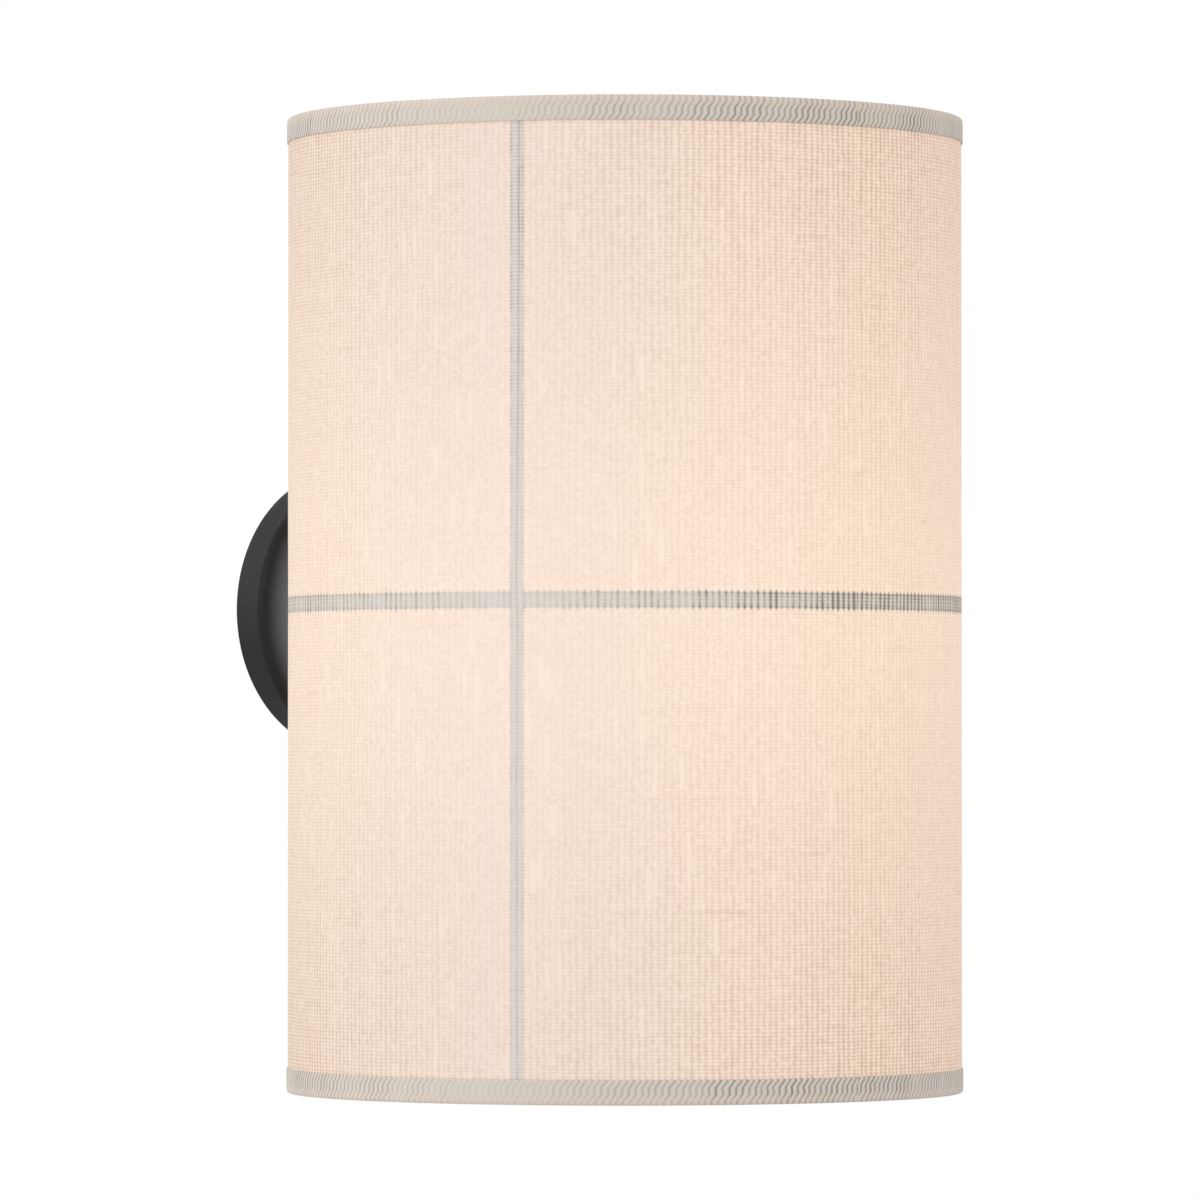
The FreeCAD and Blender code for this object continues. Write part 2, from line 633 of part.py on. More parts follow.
teeth.Occurrences = WASHER_TEETH
arm_washer.Tip = teeth
on_wall(arm_washer, f"{PLATE_INSIDE} - sizes.washer_thick")

sleeve_rod = boss_cylinder("sleeve_rod", "sizes.sleeve_radius", BOSS_FLAT,
                           f"{AXIS_OUT} - sizes.plate_depth - {BOSS_FLAT}")
sleeve_drum = cylinder("sleeve_drum", COVER_INSIDE, "4 * sizes.sleeve_radius")
sleeve_drum.setExpression("Placement.Base.z", "-2 * sizes.sleeve_radius")
sleeve_solid = cut("sleeve_solid", sleeve_rod, sleeve_drum)
arm_sleeve = on_axis(cut("arm_sleeve", sleeve_solid, boss_cylinder(
    "sleeve_bore", TUBE_HOLE, "0", "2 * sizes.shade_radius")))

REAR_LEG_OUT = f"({FLANGE_OUT} + sizes.flange_thick + sizes.first_run + sizes.bend_radius)"
LOWER_RUN_UP = "-sizes.lower_run_down"
ARM_CORNERS = [
    ("0", "sizes.tube_back"),
    ("0", REAR_LEG_OUT),
    (LOWER_RUN_UP, REAR_LEG_OUT),
    (LOWER_RUN_UP, AXIS_OUT),
    (TUBE_TOP_UP, AXIS_OUT),
]
lamp_arm = on_wall(bent_rod(
    "lamp_arm", ARM_CORNERS, ["sizes.bend_radius"] * 3,
    ("sizes.tube_radius", "sizes.tube_radius - sizes.tube_wall"), "XY_Plane"))
arm_flange = on_wall(
    band("arm_flange", "sizes.flange_radius", TUBE_THREAD, "sizes.flange_thick"), FLANGE_OUT)

# ---------------------------------------------------------------- electrical pieces in the plate

LEAD_SUNK = "(sizes.block_height / 4)"
block_case = box("block_case", "sizes.block_width", "sizes.block_height", "sizes.block_depth")
moved(block_case, "-sizes.block_width / 2", "-sizes.block_down - sizes.block_height",
      "sizes.bracket_thick")
block_peg = moved(cylinder("block_peg_pin", "sizes.block_peg", "sizes.bracket_thick"),
                  "0", f"-{BLOCK_MIDDLE}", "sizes.peg_gap")
POLES = {"left": "-sizes.lead_offset", "right": "sizes.lead_offset"}
BLOCK_FACE = "(sizes.bracket_thick + sizes.block_depth)"
CLAMP_DEPTH = "(sizes.clamp_length + sizes.clamp_sunk)"
block_holes = []
for side, right in POLES.items():
    clamp_hole = cylinder(f"clamp_hole_{side}", "sizes.clamp_radius + sizes.thread_gap",
                          CLAMP_DEPTH)
    block_holes.append(moved(clamp_hole, right, f"-{BLOCK_MIDDLE}",
                             f"{BLOCK_FACE} - {CLAMP_DEPTH}"))
    lead_hole = cylinder(f"lead_hole_{side}", "sizes.lead_radius + sizes.peg_gap", LEAD_SUNK)
    lead_hole.Placement = FreeCAD.Placement(V(0, 0, 0), FreeCAD.Rotation(V(1, 0, 0), 90))
    block_holes.append(moved(lead_hole, right, "-sizes.block_down", "sizes.lead_back"))
terminal_block = on_wall(cut(
    "terminal_block", group("Part::MultiFuse", "block_with_peg", [block_case, block_peg]),
    group("Part::MultiFuse", "block_hollows", block_holes)))
terminal_screws = on_wall(group("Part::Compound", "terminal_screws", [
    moved(slotted_screw(f"clamp_screw_{side}", "sizes.clamp_radius", "sizes.clamp_length"),
          right, f"-{BLOCK_MIDDLE}", f"{BLOCK_FACE} - {CLAMP_DEPTH}")
    for side, right in POLES.items()]))

earth_head = slotted_screw("earth_head", "sizes.earth_head_radius", "sizes.earth_head_thick")
moved(earth_head, "0", "0", "sizes.bracket_thick")
earth_shank = cylinder("earth_shank", "sizes.grub_radius", "sizes.bracket_thick")
moved(earth_shank, "0", "0", "sizes.peg_gap")
earth_screw = on_wall(group("Part::MultiFuse", "earth_screw", [earth_head, earth_shank]))
earth_screw.setExpression("Placement.Base.z", "sizes.earth_up")

LEAD_CORNERS = [
    (INSERT_FOOT_UP, AXIS_OUT),
    (LOWER_RUN_UP, AXIS_OUT),
    (LOWER_RUN_UP, REAR_LEG_OUT),
    ("0", REAR_LEG_OUT),
    ("0", "sizes.lead_back"),
    (f"-sizes.block_down - {LEAD_SUNK}", "sizes.lead_back"),
]
leads = [on_wall(bent_rod(name, LEAD_CORNERS, ["sizes.bend_radius"] * 3 + ["sizes.lead_bend"],
                          ("sizes.lead_radius",), "XZ_Plane"), "0", POLES[side])
         for name, side in (("lead_live", "left"), ("lead_neutral", "right"))]

# ---------------------------------------------------------------- the lampholder

INSERT_RADIUS = "(sizes.skirt_radius - sizes.skirt_wall - sizes.insert_gap)"
SOCKET_OUTSIDE = f"({SOCKET_RADIUS} + sizes.socket_wall)"
COLLAR_INSIDE = f"({SOCKET_OUTSIDE} + sizes.thread_gap)"

holder_nut = on_axis(hexagon_nut("holder_nut"), f"{CAP_FOOT_UP} - sizes.nut_thick")

holder_cap = on_axis(turned("holder_cap", [
    (TUBE_THREAD, "0"),
    ("sizes.holder_cap_neck", "0"),
    ("sizes.holder_cap_neck", "sizes.holder_cap_wall"),
    ("sizes.skirt_radius", "sizes.holder_cap_height - sizes.holder_cap_wall",
     "sizes.holder_cap_height", "right"),
    ("sizes.skirt_radius", "sizes.holder_cap_height"),
    ("sizes.skirt_radius - sizes.holder_cap_wall", "sizes.holder_cap_height"),
    ("sizes.skirt_radius - sizes.holder_cap_wall",
     "sizes.holder_cap_height - sizes.holder_cap_wall"),
    (f"{TUBE_THREAD} + sizes.holder_cap_wall", "sizes.holder_cap_floor"),
    (TUBE_THREAD, "sizes.holder_cap_floor"),
]), CAP_FOOT_UP)

holder_shell = on_axis(turned("holder_shell", [
    ("sizes.skirt_radius - sizes.skirt_wall", "0"),
    ("sizes.skirt_radius", "0"),
    ("sizes.skirt_radius", "sizes.skirt_height"),
    ("sizes.skirt_radius - sizes.skirt_wall - sizes.skirt_lip", "sizes.skirt_height"),
    ("sizes.skirt_radius - sizes.skirt_wall - sizes.skirt_lip",
     "sizes.skirt_height - sizes.skirt_lip_thick"),
    ("sizes.skirt_radius - sizes.skirt_wall", "sizes.skirt_height - sizes.skirt_lip_thick"),
]), INSERT_FOOT_UP)

holder_insert = turned("holder_insert", [
    ("0", "0"),
    (INSERT_RADIUS, "0"),
    (INSERT_RADIUS, "sizes.insert_base"),
    (f"{COLLAR_INSIDE} + sizes.insert_collar", "sizes.insert_base"),
    (f"{COLLAR_INSIDE} + sizes.insert_collar", "sizes.insert_height"),
    (COLLAR_INSIDE, "sizes.insert_height"),
    (COLLAR_INSIDE, "sizes.insert_base"),
    ("0", "sizes.insert_base"),
])
WIRE_SCREWS = {"left": "-sizes.wire_screw_offset", "right": "sizes.wire_screw_offset"}
insert_holes = sketch_on(holder_insert, "XY_Plane", "insert_screw_holes")
for right in WIRE_SCREWS.values():
    circle_in(insert_holes, (right, "0"), "sizes.wire_screw_radius + sizes.thread_gap")
insert_pocket = holder_insert.newObject("PartDesign::Pocket", "insert_screw_pocket")
insert_pocket.Profile = insert_holes
insert_pocket.Reversed = True
insert_pocket.setExpression("Length", "sizes.wire_screw_length")
holder_insert.Tip = insert_pocket
on_axis(holder_insert, INSERT_FOOT_UP)


def wire_screw(side, right):
    """A lead screw driven up into the underside of the insert."""
    screw = slotted_screw(f"wire_screw_{side}", "sizes.wire_screw_radius",
                          "sizes.wire_screw_length")
    screw.Placement = FreeCAD.Placement(V(0, 0, 0), FreeCAD.Rotation(V(1, 0, 0), 180))
    return moved(screw, right, "0", "sizes.wire_screw_length")


lead_screws = on_axis(group("Part::Compound", "lead_screws", [
    wire_screw(side, right) for side, right in WIRE_SCREWS.items()]), INSERT_FOOT_UP)

screw_socket = on_axis(
    band("screw_socket", SOCKET_OUTSIDE, SOCKET_RADIUS, "sizes.socket_height"), INSERT_TOP_UP)

contact_tongue = body("contact_tongue")
tongue_side = sketch_on(contact_tongue, "XZ_Plane", "tongue_side")
HALF_TONGUE = "sizes.tongue_length / 2"
TONGUE_TOP = "(sizes.insert_seat - sizes.tip_gap)"
draw(tongue_side, [
    (f"-{HALF_TONGUE}", "0"),
    (f"-{HALF_TONGUE} / 2", "0"),
    ("-sizes.tongue_thick", f"{TONGUE_TOP} - sizes.tongue_thick"),
    (HALF_TONGUE, f"{TONGUE_TOP} - sizes.tongue_thick"),
    (HALF_TONGUE, TONGUE_TOP),
    ("-2 * sizes.tongue_thick", TONGUE_TOP),
    (f"-{HALF_TONGUE} / 2 - sizes.tongue_thick", "sizes.tongue_thick"),
    (f"-{HALF_TONGUE}", "sizes.tongue_thick"),
])
tongue_pad = contact_tongue.newObject("PartDesign::Pad", "tongue_pad")
tongue_pad.Profile = tongue_side
tongue_pad.SideType = "Symmetric"
tongue_pad.setExpression("Length", "sizes.tongue_width")
contact_tongue.Tip = tongue_pad
on_axis(contact_tongue, INSERT_TOP_UP)

# ---------------------------------------------------------------- the bulb

CAP_UP = f"({TIP_UP} + sizes.tip_height + sizes.insulator_height)"
CAP_DROP = f"(sizes.globe_up - {CAP_UP} - sizes.bulb_cap_height)"
NECK_ROUND = (f"((pow(sizes.neck_radius; 2) + pow({CAP_DROP}; 2) - pow(sizes.globe_radius; 2))"
              " / (2 * (sizes.globe_radius - sizes.neck_radius)))")
CAP_BORE = "(sizes.bulb_cap_radius - sizes.bulb_cap_wall)"

bulb_contact = on_axis(turned("bulb_contact", [
    ("0", "0"),
    ("sizes.tip_radius / 2", "0"),
    ("sizes.tip_radius", "sizes.tip_height / 2"),
    ("sizes.tip_radius", "sizes.tip_height"),
    ("0", "sizes.tip_height"),
]), TIP_UP)

bulb_insulator = on_axis(turned("bulb_insulator", [
    ("0", "0"),
    ("sizes.insulator_foot", "0"),
    ("sizes.insulator_top", "sizes.insulator_height"),
    ("0", "sizes.insulator_height"),
]), f"{TIP_UP} + sizes.tip_height")

bulb_cap = on_axis(turned("bulb_cap", [
    (CAP_BORE, "0"),
    ("sizes.bulb_cap_radius", "0"),
    ("sizes.bulb_cap_radius", "sizes.bulb_cap_height - 2 * sizes.bulb_rim_height"),
    ("sizes.bulb_cap_lip", "sizes.bulb_cap_height - sizes.bulb_rim_height"),
    ("sizes.bulb_cap_lip", "sizes.bulb_cap_height"),
    (CAP_BORE, "sizes.bulb_cap_height"),
]), CAP_UP)

bulb_globe = on_axis(turned("bulb_globe", [
    ("0", "sizes.globe_radius", "sizes.globe_radius", "left"),
    ("0", f"-{CAP_DROP} - sizes.neck_in_cap"),
    (f"{CAP_BORE} - sizes.thread_gap", f"-{CAP_DROP} - sizes.neck_in_cap"),
    (f"{CAP_BORE} - sizes.thread_gap", f"-{CAP_DROP}"),
    ("sizes.neck_radius", f"-{CAP_DROP}"),
    (f"sizes.globe_radius * (sizes.neck_radius + {NECK_ROUND}) / (sizes.globe_radius + {NECK_ROUND})",
     f"-sizes.globe_radius * {CAP_DROP} / (sizes.globe_radius + {NECK_ROUND})",
     NECK_ROUND, "right"),
]), "sizes.globe_up")

# ---------------------------------------------------------------- checks and files

PIECES = [
    wall_bracket, wall_plate, plate_screws, arm_nut, arm_washer, terminal_block,
    terminal_screws, earth_screw, arm_sleeve, lamp_arm, arm_flange, *leads,
    frame_top_hoop, frame_middle_hoop, frame_bottom_hoop, *uprights, frame_boss,
    shade_cover, top_trim, bottom_trim, holder_nut, holder_cap, holder_shell, holder_insert,
    lead_screws, screw_socket, contact_tongue, bulb_contact, bulb_insulator, bulb_cap, bulb_globe,
]

doc.recompute()
for thing in doc.Objects:
    if "Invalid" in thing.State or "Error" in thing.State:
        raise RuntimeError(f"{thing.Name} did not build: {thing.State}")
for piece in PIECES:
    if piece.Shape.isNull() or not piece.Shape.isValid() or not piece.Shape.Solids:
        raise RuntimeError(f"{piece.Label} has no sound solid")

os.makedirs("parts", exist_ok=True)
for piece in PIECES:
    piece.Shape.exportStep(f"parts/{piece.Label}.step")
    print(f"{piece.Label}: {len(piece.Shape.Solids)} solid, {piece.Shape.Volume:.1f} mm3")
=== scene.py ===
"""Looks of a fabric shade wall light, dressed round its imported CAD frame.

The lamp hangs on the wall plane y = 0. The drum shade stands upright on an axis in front of it,
held by a short arm at its back, with a lampholder and its bulb on a bent tube inside.
"""

import logging
import math
from dataclasses import dataclass
from enum import Enum
from typing import Any, Dict, List, Optional, Sequence, Tuple, Union

import bpy
import numpy as np
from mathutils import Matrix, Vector


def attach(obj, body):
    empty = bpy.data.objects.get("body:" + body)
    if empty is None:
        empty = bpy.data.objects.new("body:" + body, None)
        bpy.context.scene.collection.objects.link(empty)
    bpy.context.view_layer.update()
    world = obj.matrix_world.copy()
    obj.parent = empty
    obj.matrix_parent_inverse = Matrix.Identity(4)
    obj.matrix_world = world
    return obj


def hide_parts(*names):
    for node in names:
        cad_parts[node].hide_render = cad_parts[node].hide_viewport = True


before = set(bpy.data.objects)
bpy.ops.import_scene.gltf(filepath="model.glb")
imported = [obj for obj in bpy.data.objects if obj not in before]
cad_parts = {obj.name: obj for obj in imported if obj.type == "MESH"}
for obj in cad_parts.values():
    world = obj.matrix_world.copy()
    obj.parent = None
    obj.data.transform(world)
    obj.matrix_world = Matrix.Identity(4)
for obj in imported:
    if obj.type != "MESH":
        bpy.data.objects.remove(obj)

LOG = logging.getLogger("wall_light")
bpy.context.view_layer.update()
MM = 0.001
AXIS_Y = -0.1226
DRUM_RADIUS = 95 * MM
CLOTH_HALF = 136.7 * MM
Colour = Tuple[float, float, float]
Given = Union["Value", float, Sequence[float]]


# ------------------------------------------------------------------------------ shader maths


class Value:
    """A shader socket that takes part in Python expressions, each of which adds a Math node."""

    def __init__(self, shader: "Shader", socket: bpy.types.NodeSocket) -> None:
        """Wrap a socket of a shader."""
        self.shader = shader
        self.socket = socket

    def _math(self, operation: str, *operands: Given) -> "Value":
        """One Math node on the operands."""
        return self.shader.node("ShaderNodeMath", {"operation": operation},
                                dict(enumerate(operands)))

    def __add__(self, other: Given) -> "Value":
        """The sum."""
        return self._math("ADD", self, other)

    def __radd__(self, other: Given) -> "Value":
        """The sum, with the socket on the right."""
        return self._math("ADD", other, self)

    def __sub__(self, other: Given) -> "Value":
        """The difference."""
        return self._math("SUBTRACT", self, other)

    def __rsub__(self, other: Given) -> "Value":
        """The difference, with the socket on the right."""
        return self._math("SUBTRACT", other, self)

    def __mul__(self, other: Given) -> "Value":
        """The product."""
        return self._math("MULTIPLY", self, other)

    def __rmul__(self, other: Given) -> "Value":
        """The product, with the socket on the right."""
        return self._math("MULTIPLY", other, self)

    def __truediv__(self, other: Given) -> "Value":
        """The quotient."""
        return self._math("DIVIDE", self, other)

    def __rtruediv__(self, other: Given) -> "Value":
        """The quotient, with the socket on the right."""
        return self._math("DIVIDE", other, self)

    def __pow__(self, other: Given) -> "Value":
        """The power."""
        return self._math("POWER", self, other)

    def __mod__(self, other: Given) -> "Value":
        """The remainder, never negative."""
        return self._math("FLOORED_MODULO", self, other)

    def __abs__(self) -> "Value":
        """The size without the sign."""
        return self._math("ABSOLUTE", self)

    def floor(self) -> "Value":
        """The whole number below."""
        return self._math("FLOOR", self)

    def wave(self) -> "Value":
        """A cosine between 0 and 1 that peaks at each whole number."""
        return 0.5 + 0.5 * self._math("COSINE", self * (2 * math.pi))

    def sine(self) -> "Value":
        """The sine of an angle in radians."""
        return self._math("SINE", self)

    def least(self, other: Given) -> "Value":
        """The smaller of two."""
        return self._math("MINIMUM", self, other)

    def most(self, other: Given) -> "Value":
        """The larger of two."""
        return self._math("MAXIMUM", self, other)

    def step(self, low: float, high: float) -> "Value":
        """A smooth change between two values of the socket, whichever is the larger.

        Args:
            low: where the result is 0, and also beyond it.
            high: where the result is 1, and also beyond it.

        Returns:
            The result, from 0 to 1.
        """
        rising = low < high
        ends = (low, high) if rising else (high, low)
        rise = self.shader.node("ShaderNodeMapRange", {"interpolation_type": "SMOOTHSTEP"},
                                {0: self, 1: ends[0], 2: ends[1]})
        return rise if rising else 1 - rise


class Shader:
    """The node tree of one material or world while it is drawn up."""

    def __init__(self, name: str, kind: str = "materials") -> None:
        """Start an empty tree.

        Args:
            name: the material's or world's name.
            kind: where in Blender's data it goes.
        """
        self.owner = getattr(bpy.data, kind).new(name)
        self.owner.use_nodes = True
        self.tree = self.owner.node_tree
        self.tree.nodes.clear()

    def node(self, kind: str, settings: Optional[Dict[str, Any]] = None,
             inputs: Optional[Dict[Any, Given]] = None,
             output: Union[int, str] = 0) -> Value:
        """Add a node.

        Args:
            kind: the node's type.
            settings: its own settings, set before its sockets.
            inputs: values or links by socket.
            output: which of its outputs is wanted.

        Returns:
            The output, or the first input of a node that has none.
        """
        made = self.tree.nodes.new(kind)
        for key, setting in (settings or {}).items():
            setattr(made, key, setting)
        for key, given in (inputs or {}).items():
            if isinstance(given, Value):
                self.tree.links.new(given.socket, made.inputs[key])
            else:
                made.inputs[key].default_value = given
        return Value(self, made.outputs[output] if made.outputs else made.inputs[0])

    def place(self) -> Value:
        """The point on the piece, in metres."""
        return self.node("ShaderNodeTexCoord", output="Object")

    def weave_place(self) -> Value:
        """The point on a cloth, in metres along and across it."""
        return self.node("ShaderNodeUVMap", {"uv_map": WEAVE_MAP})

    def split(self, vector: Value) -> Tuple[Value, Value, Value]:
        """Take a vector apart.

        Args:
            vector: the vector.

        Returns:
            Its three numbers.
        """
        apart = self.node("ShaderNodeSeparateXYZ", inputs={0: vector})
        node = apart.socket.node
        return tuple(Value(self, node.outputs[k]) for k in range(3))

    def join(self, x: Given, y: Given, z: Given = 0.0) -> Value:
        """A vector of three numbers."""
        return self.node("ShaderNodeCombineXYZ", inputs={0: x, 1: y, 2: z})

    def noise(self, where: Value, scale: float, detail: float = 2.0,
              roughness: float = 0.5) -> Value:
        """Smooth noise between 0 and 1 about 0.5, its scale in swells to the metre."""
        return self.node("ShaderNodeTexNoise", inputs={
            "Vector": where, "Scale": scale, "Detail": detail, "Roughness": roughness})

    def chance(self, first: Value, second: Given = 0.0) -> Value:
        """A random number between 0 and 1 for each pair of whole numbers."""
        return self.node("ShaderNodeTexWhiteNoise", {"noise_dimensions": "2D"},
                         {"Vector": self.join(first, second)})

    def mix(self, factor: Given, first: Given, second: Given) -> Value:
        """A colour between two.

        Args:
            factor: 0 for the first colour and 1 for the second.
            first: the first colour.
            second: the second colour.

        Returns:
            The colour.
        """
        colours = [(*c, 1.0) if isinstance(c, (tuple, list)) else c for c in (first, second)]
        return self.node("ShaderNodeMix", {"data_type": "RGBA"},
                         {0: factor, 6: colours[0], 7: colours[1]}, 2)

    def shade(self, colour: Given, amount: Given) -> Value:
        """A colour times an amount of light.

        Args:
            colour: the colour.
            amount: the amount.

        Returns:
            The product.
        """
        given = tuple(colour) if isinstance(colour, (tuple, list)) else colour
        return self.node("ShaderNodeVectorMath", {"operation": "SCALE"},
                         {0: given, "Scale": amount})

    def bump(self, height: Value, depth: float, strength: float = 1.0) -> Value:
        """A normal bent by a height between 0 and 1, over a depth in metres."""
        return self.node("ShaderNodeBump", inputs={
            "Strength": strength, "Distance": depth, "Height": height})

    def finish(self, **sockets: Given) -> bpy.types.Material:
        """Close the tree with a Principled shader, its sockets named with underscores.

        Args:
            sockets: values or links, with a colour as three numbers.

        Returns:
            The material.
        """
        inputs = {}
        for key, given in sockets.items():
            wide = key.endswith(("Color", "Tint")) and isinstance(given, (tuple, list))
            inputs[key.replace("_", " ")] = (*given, 1.0) if wide else given
        surface = self.node("ShaderNodeBsdfPrincipled", inputs=inputs)
        self.node("ShaderNodeOutputMaterial", inputs={"Surface": surface})
        return self.owner


# ------------------------------------------------------------------------------ finishes


class Slot(Enum):
    """The record's material slots."""

    BLACK = "black_steel"
    ZINC = "zinc_steel"
    WHITE = "white_frame"
    LINEN = "linen"
    TAPE = "tape"
    PLASTIC = "white_plastic"
    PORCELAIN = "porcelain"
    BRASS = "brass"
    NICKEL = "nickel"
    BEAD = "insulator_bead"
    OPAL = "opal_globe"
    BROWN = "lead_brown"
    BLUE = "lead_blue"
    SOLDER = "solder"


WEAVE_MAP = "weave"


@dataclass(frozen=True)
class PowderCoat:
    """Baked powder over steel: a fine pebbled skin, faintly rubbed in patches, with a painted
    glow where asked.
    """

    name: str
    colour: Colour
    # colour of faint rubbed patches, and of the painted glow where asked
    worn_and_lit: Colour
    roughness: float = 0.52
    grain: float = 0.00045
    depth: float = 0.00006
    specular: float = 0.5
    # painted glow and reflection of the lit shade, from one distance from the Y axis to a smaller
    # one
    painted_glow_from: float = 0.0
    painted_glow_to: float = 0.0

    def make(self) -> bpy.types.Material:
        """Draw the material.

        Pebbles come from two noises, and the tone changes in clouds and in faint patches.
        Where asked, the tone turns paler toward the Y axis, from one distance from it to a
        smaller
        one: a painted glow and reflection of the lit shade.

        Returns:
            The material.
        """
        s = Shader(self.name)
        place = s.place()
        pebble = s.noise(place, 1 / self.grain, 3.0, 0.6)
        orange = s.noise(place, 0.25 / self.grain, 2.0)
        cloud = s.noise(place, 28.0, 3.0)
        dust_and_glow = 0.10 * s.noise(place, 160.0, 4.0, 0.65).step(0.52, 0.80)
        tone = s.mix(cloud.step(0.3, 0.7), tuple(0.90 * c for c in self.colour), self.colour)
        # painted glow of the lit shade: the face turns paler toward its middle
        if self.painted_glow_from:
            x, _, z = s.split(place)
            out = (x * x + z * z) ** 0.5
            dust_and_glow = dust_and_glow.most(out.step(self.painted_glow_from, self.painted_glow_to) * (0.20 + 1.6 * pebble))
        tone = s.mix(0.62 * dust_and_glow, tone, self.worn_and_lit)
        return s.finish(
            Base_Color=tone,
            Roughness=self.roughness + 0.10 * (cloud - 0.5) + 0.12 * (pebble - 0.5),
            Specular_IOR_Level=self.specular,
            Normal=s.bump(0.65 * pebble + 0.35 * orange, self.depth, 0.9))


@dataclass(frozen=True)
class BrushedMetal:
    """Bare or plated metal with fine lines and a dulled film."""

    name: str
    colour: Colour
    film: Colour
    roughness: float = 0.32
    line: float = 0.0004

    def make(self) -> bpy.types.Material:
        """Draw the material: lines stretched along Z, and a film in patches.

        Returns:
            The material.
        """
        s = Shader(self.name)
        place = s.place()
        x, y, z = s.split(place)
        lines = s.noise(s.join(x, y, 0.06 * z), 1 / self.line, 3.0, 0.6)
        patch = s.noise(place, 130.0, 4.0, 0.6)
        tone = s.mix(0.6 * patch.step(0.45, 0.75), self.colour, self.film)
        return s.finish(
            Base_Color=tone, Metallic=1.0,
            Roughness=self.roughness + 0.16 * (lines - 0.5) + 0.14 * patch.step(0.4, 0.8),
            Normal=s.bump(lines, 0.00003, 0.6))


@dataclass(frozen=True)
class Moulded:
    """Moulded or glazed skin: a very fine texture, a soft swell and a cloudy tone."""

    name: str
    colour: Colour
    shadow: Colour
    roughness: float = 0.42
    grain: float = 0.0006
    depth: float = 0.00003
    coat: float = 0.0

    def make(self) -> bpy.types.Material:
        """Draw the material: tone follows a cloud, roughness a finer noise.

        Returns:
            The material.
        """
        s = Shader(self.name)
        place = s.place()
        grain = s.noise(place, 1 / self.grain, 2.0)
        cloud = s.noise(place, 60.0, 4.0, 0.55)
        tone = s.mix(cloud.step(0.35, 0.75), self.colour, self.shadow)
        return s.finish(
            Base_Color=tone, Coat_Weight=self.coat, Coat_Roughness=0.12,
            Roughness=self.roughness + 0.10 * (grain - 0.5) + 0.08 * (cloud - 0.5),
            Normal=s.bump(0.7 * grain + 0.3 * cloud, self.depth, 0.8))


@dataclass(frozen=True)
class Opal:
    """The lit opal globe: brightest over its middle, a shade deeper at its neck."""

    name: str
    colour: Colour
    glow: Colour
    neck_glow: Colour
    strength: float
    neck_z: float
    middle_z: float

    def make(self) -> bpy.types.Material:
        """Draw the material: glow rises from the neck to the middle of the globe.

        Returns:
            The material.
        """
        s = Shader(self.name)
        place = s.place()
        z = s.split(place)[2]
        cloud = s.noise(place, 45.0, 3.0)
        rise = z.step(self.neck_z, self.middle_z)
        duller = tuple(0.95 * c for c in self.colour)
        return s.finish(
            Base_Color=s.mix(cloud.step(0.3, 0.8), self.colour, duller),
            Roughness=0.22 + 0.06 * (cloud - 0.5),
            Emission_Color=s.mix(rise, self.neck_glow, self.glow),
            Emission_Strength=self.strength,
            Normal=s.bump(cloud, 0.00004, 0.3))


def key_light_shade(around: Value, radius: float, key_lit_turn: float, least: float,
               gain: float) -> Value:
    """Painted key-light shade on a drum's cloth: how plainly its threads show and how shaded they
    look.

    It is least at the turn that faces the key light. The value is the least plus a gain times
    the sine of half the angle from there, up to 1.

    Args:
        around: metres along the cloth.
        radius: the drum's radius.
        key_lit_turn: the angle of the turn that faces the key light.
        least: the value there.
        gain: the rise to the far side.

    Returns:
        The value from least to 1.
    """
    return (least + gain * abs((0.5 * (around / radius - key_lit_turn)).sine())).least(1.0)


@dataclass(frozen=True)
class Weave:
    """The grid of warp and weft: a count of warp threads, grooves, darkness and height."""

    warps: Value
    warp: Value
    weft: Value
    dark: Value
    height: Value


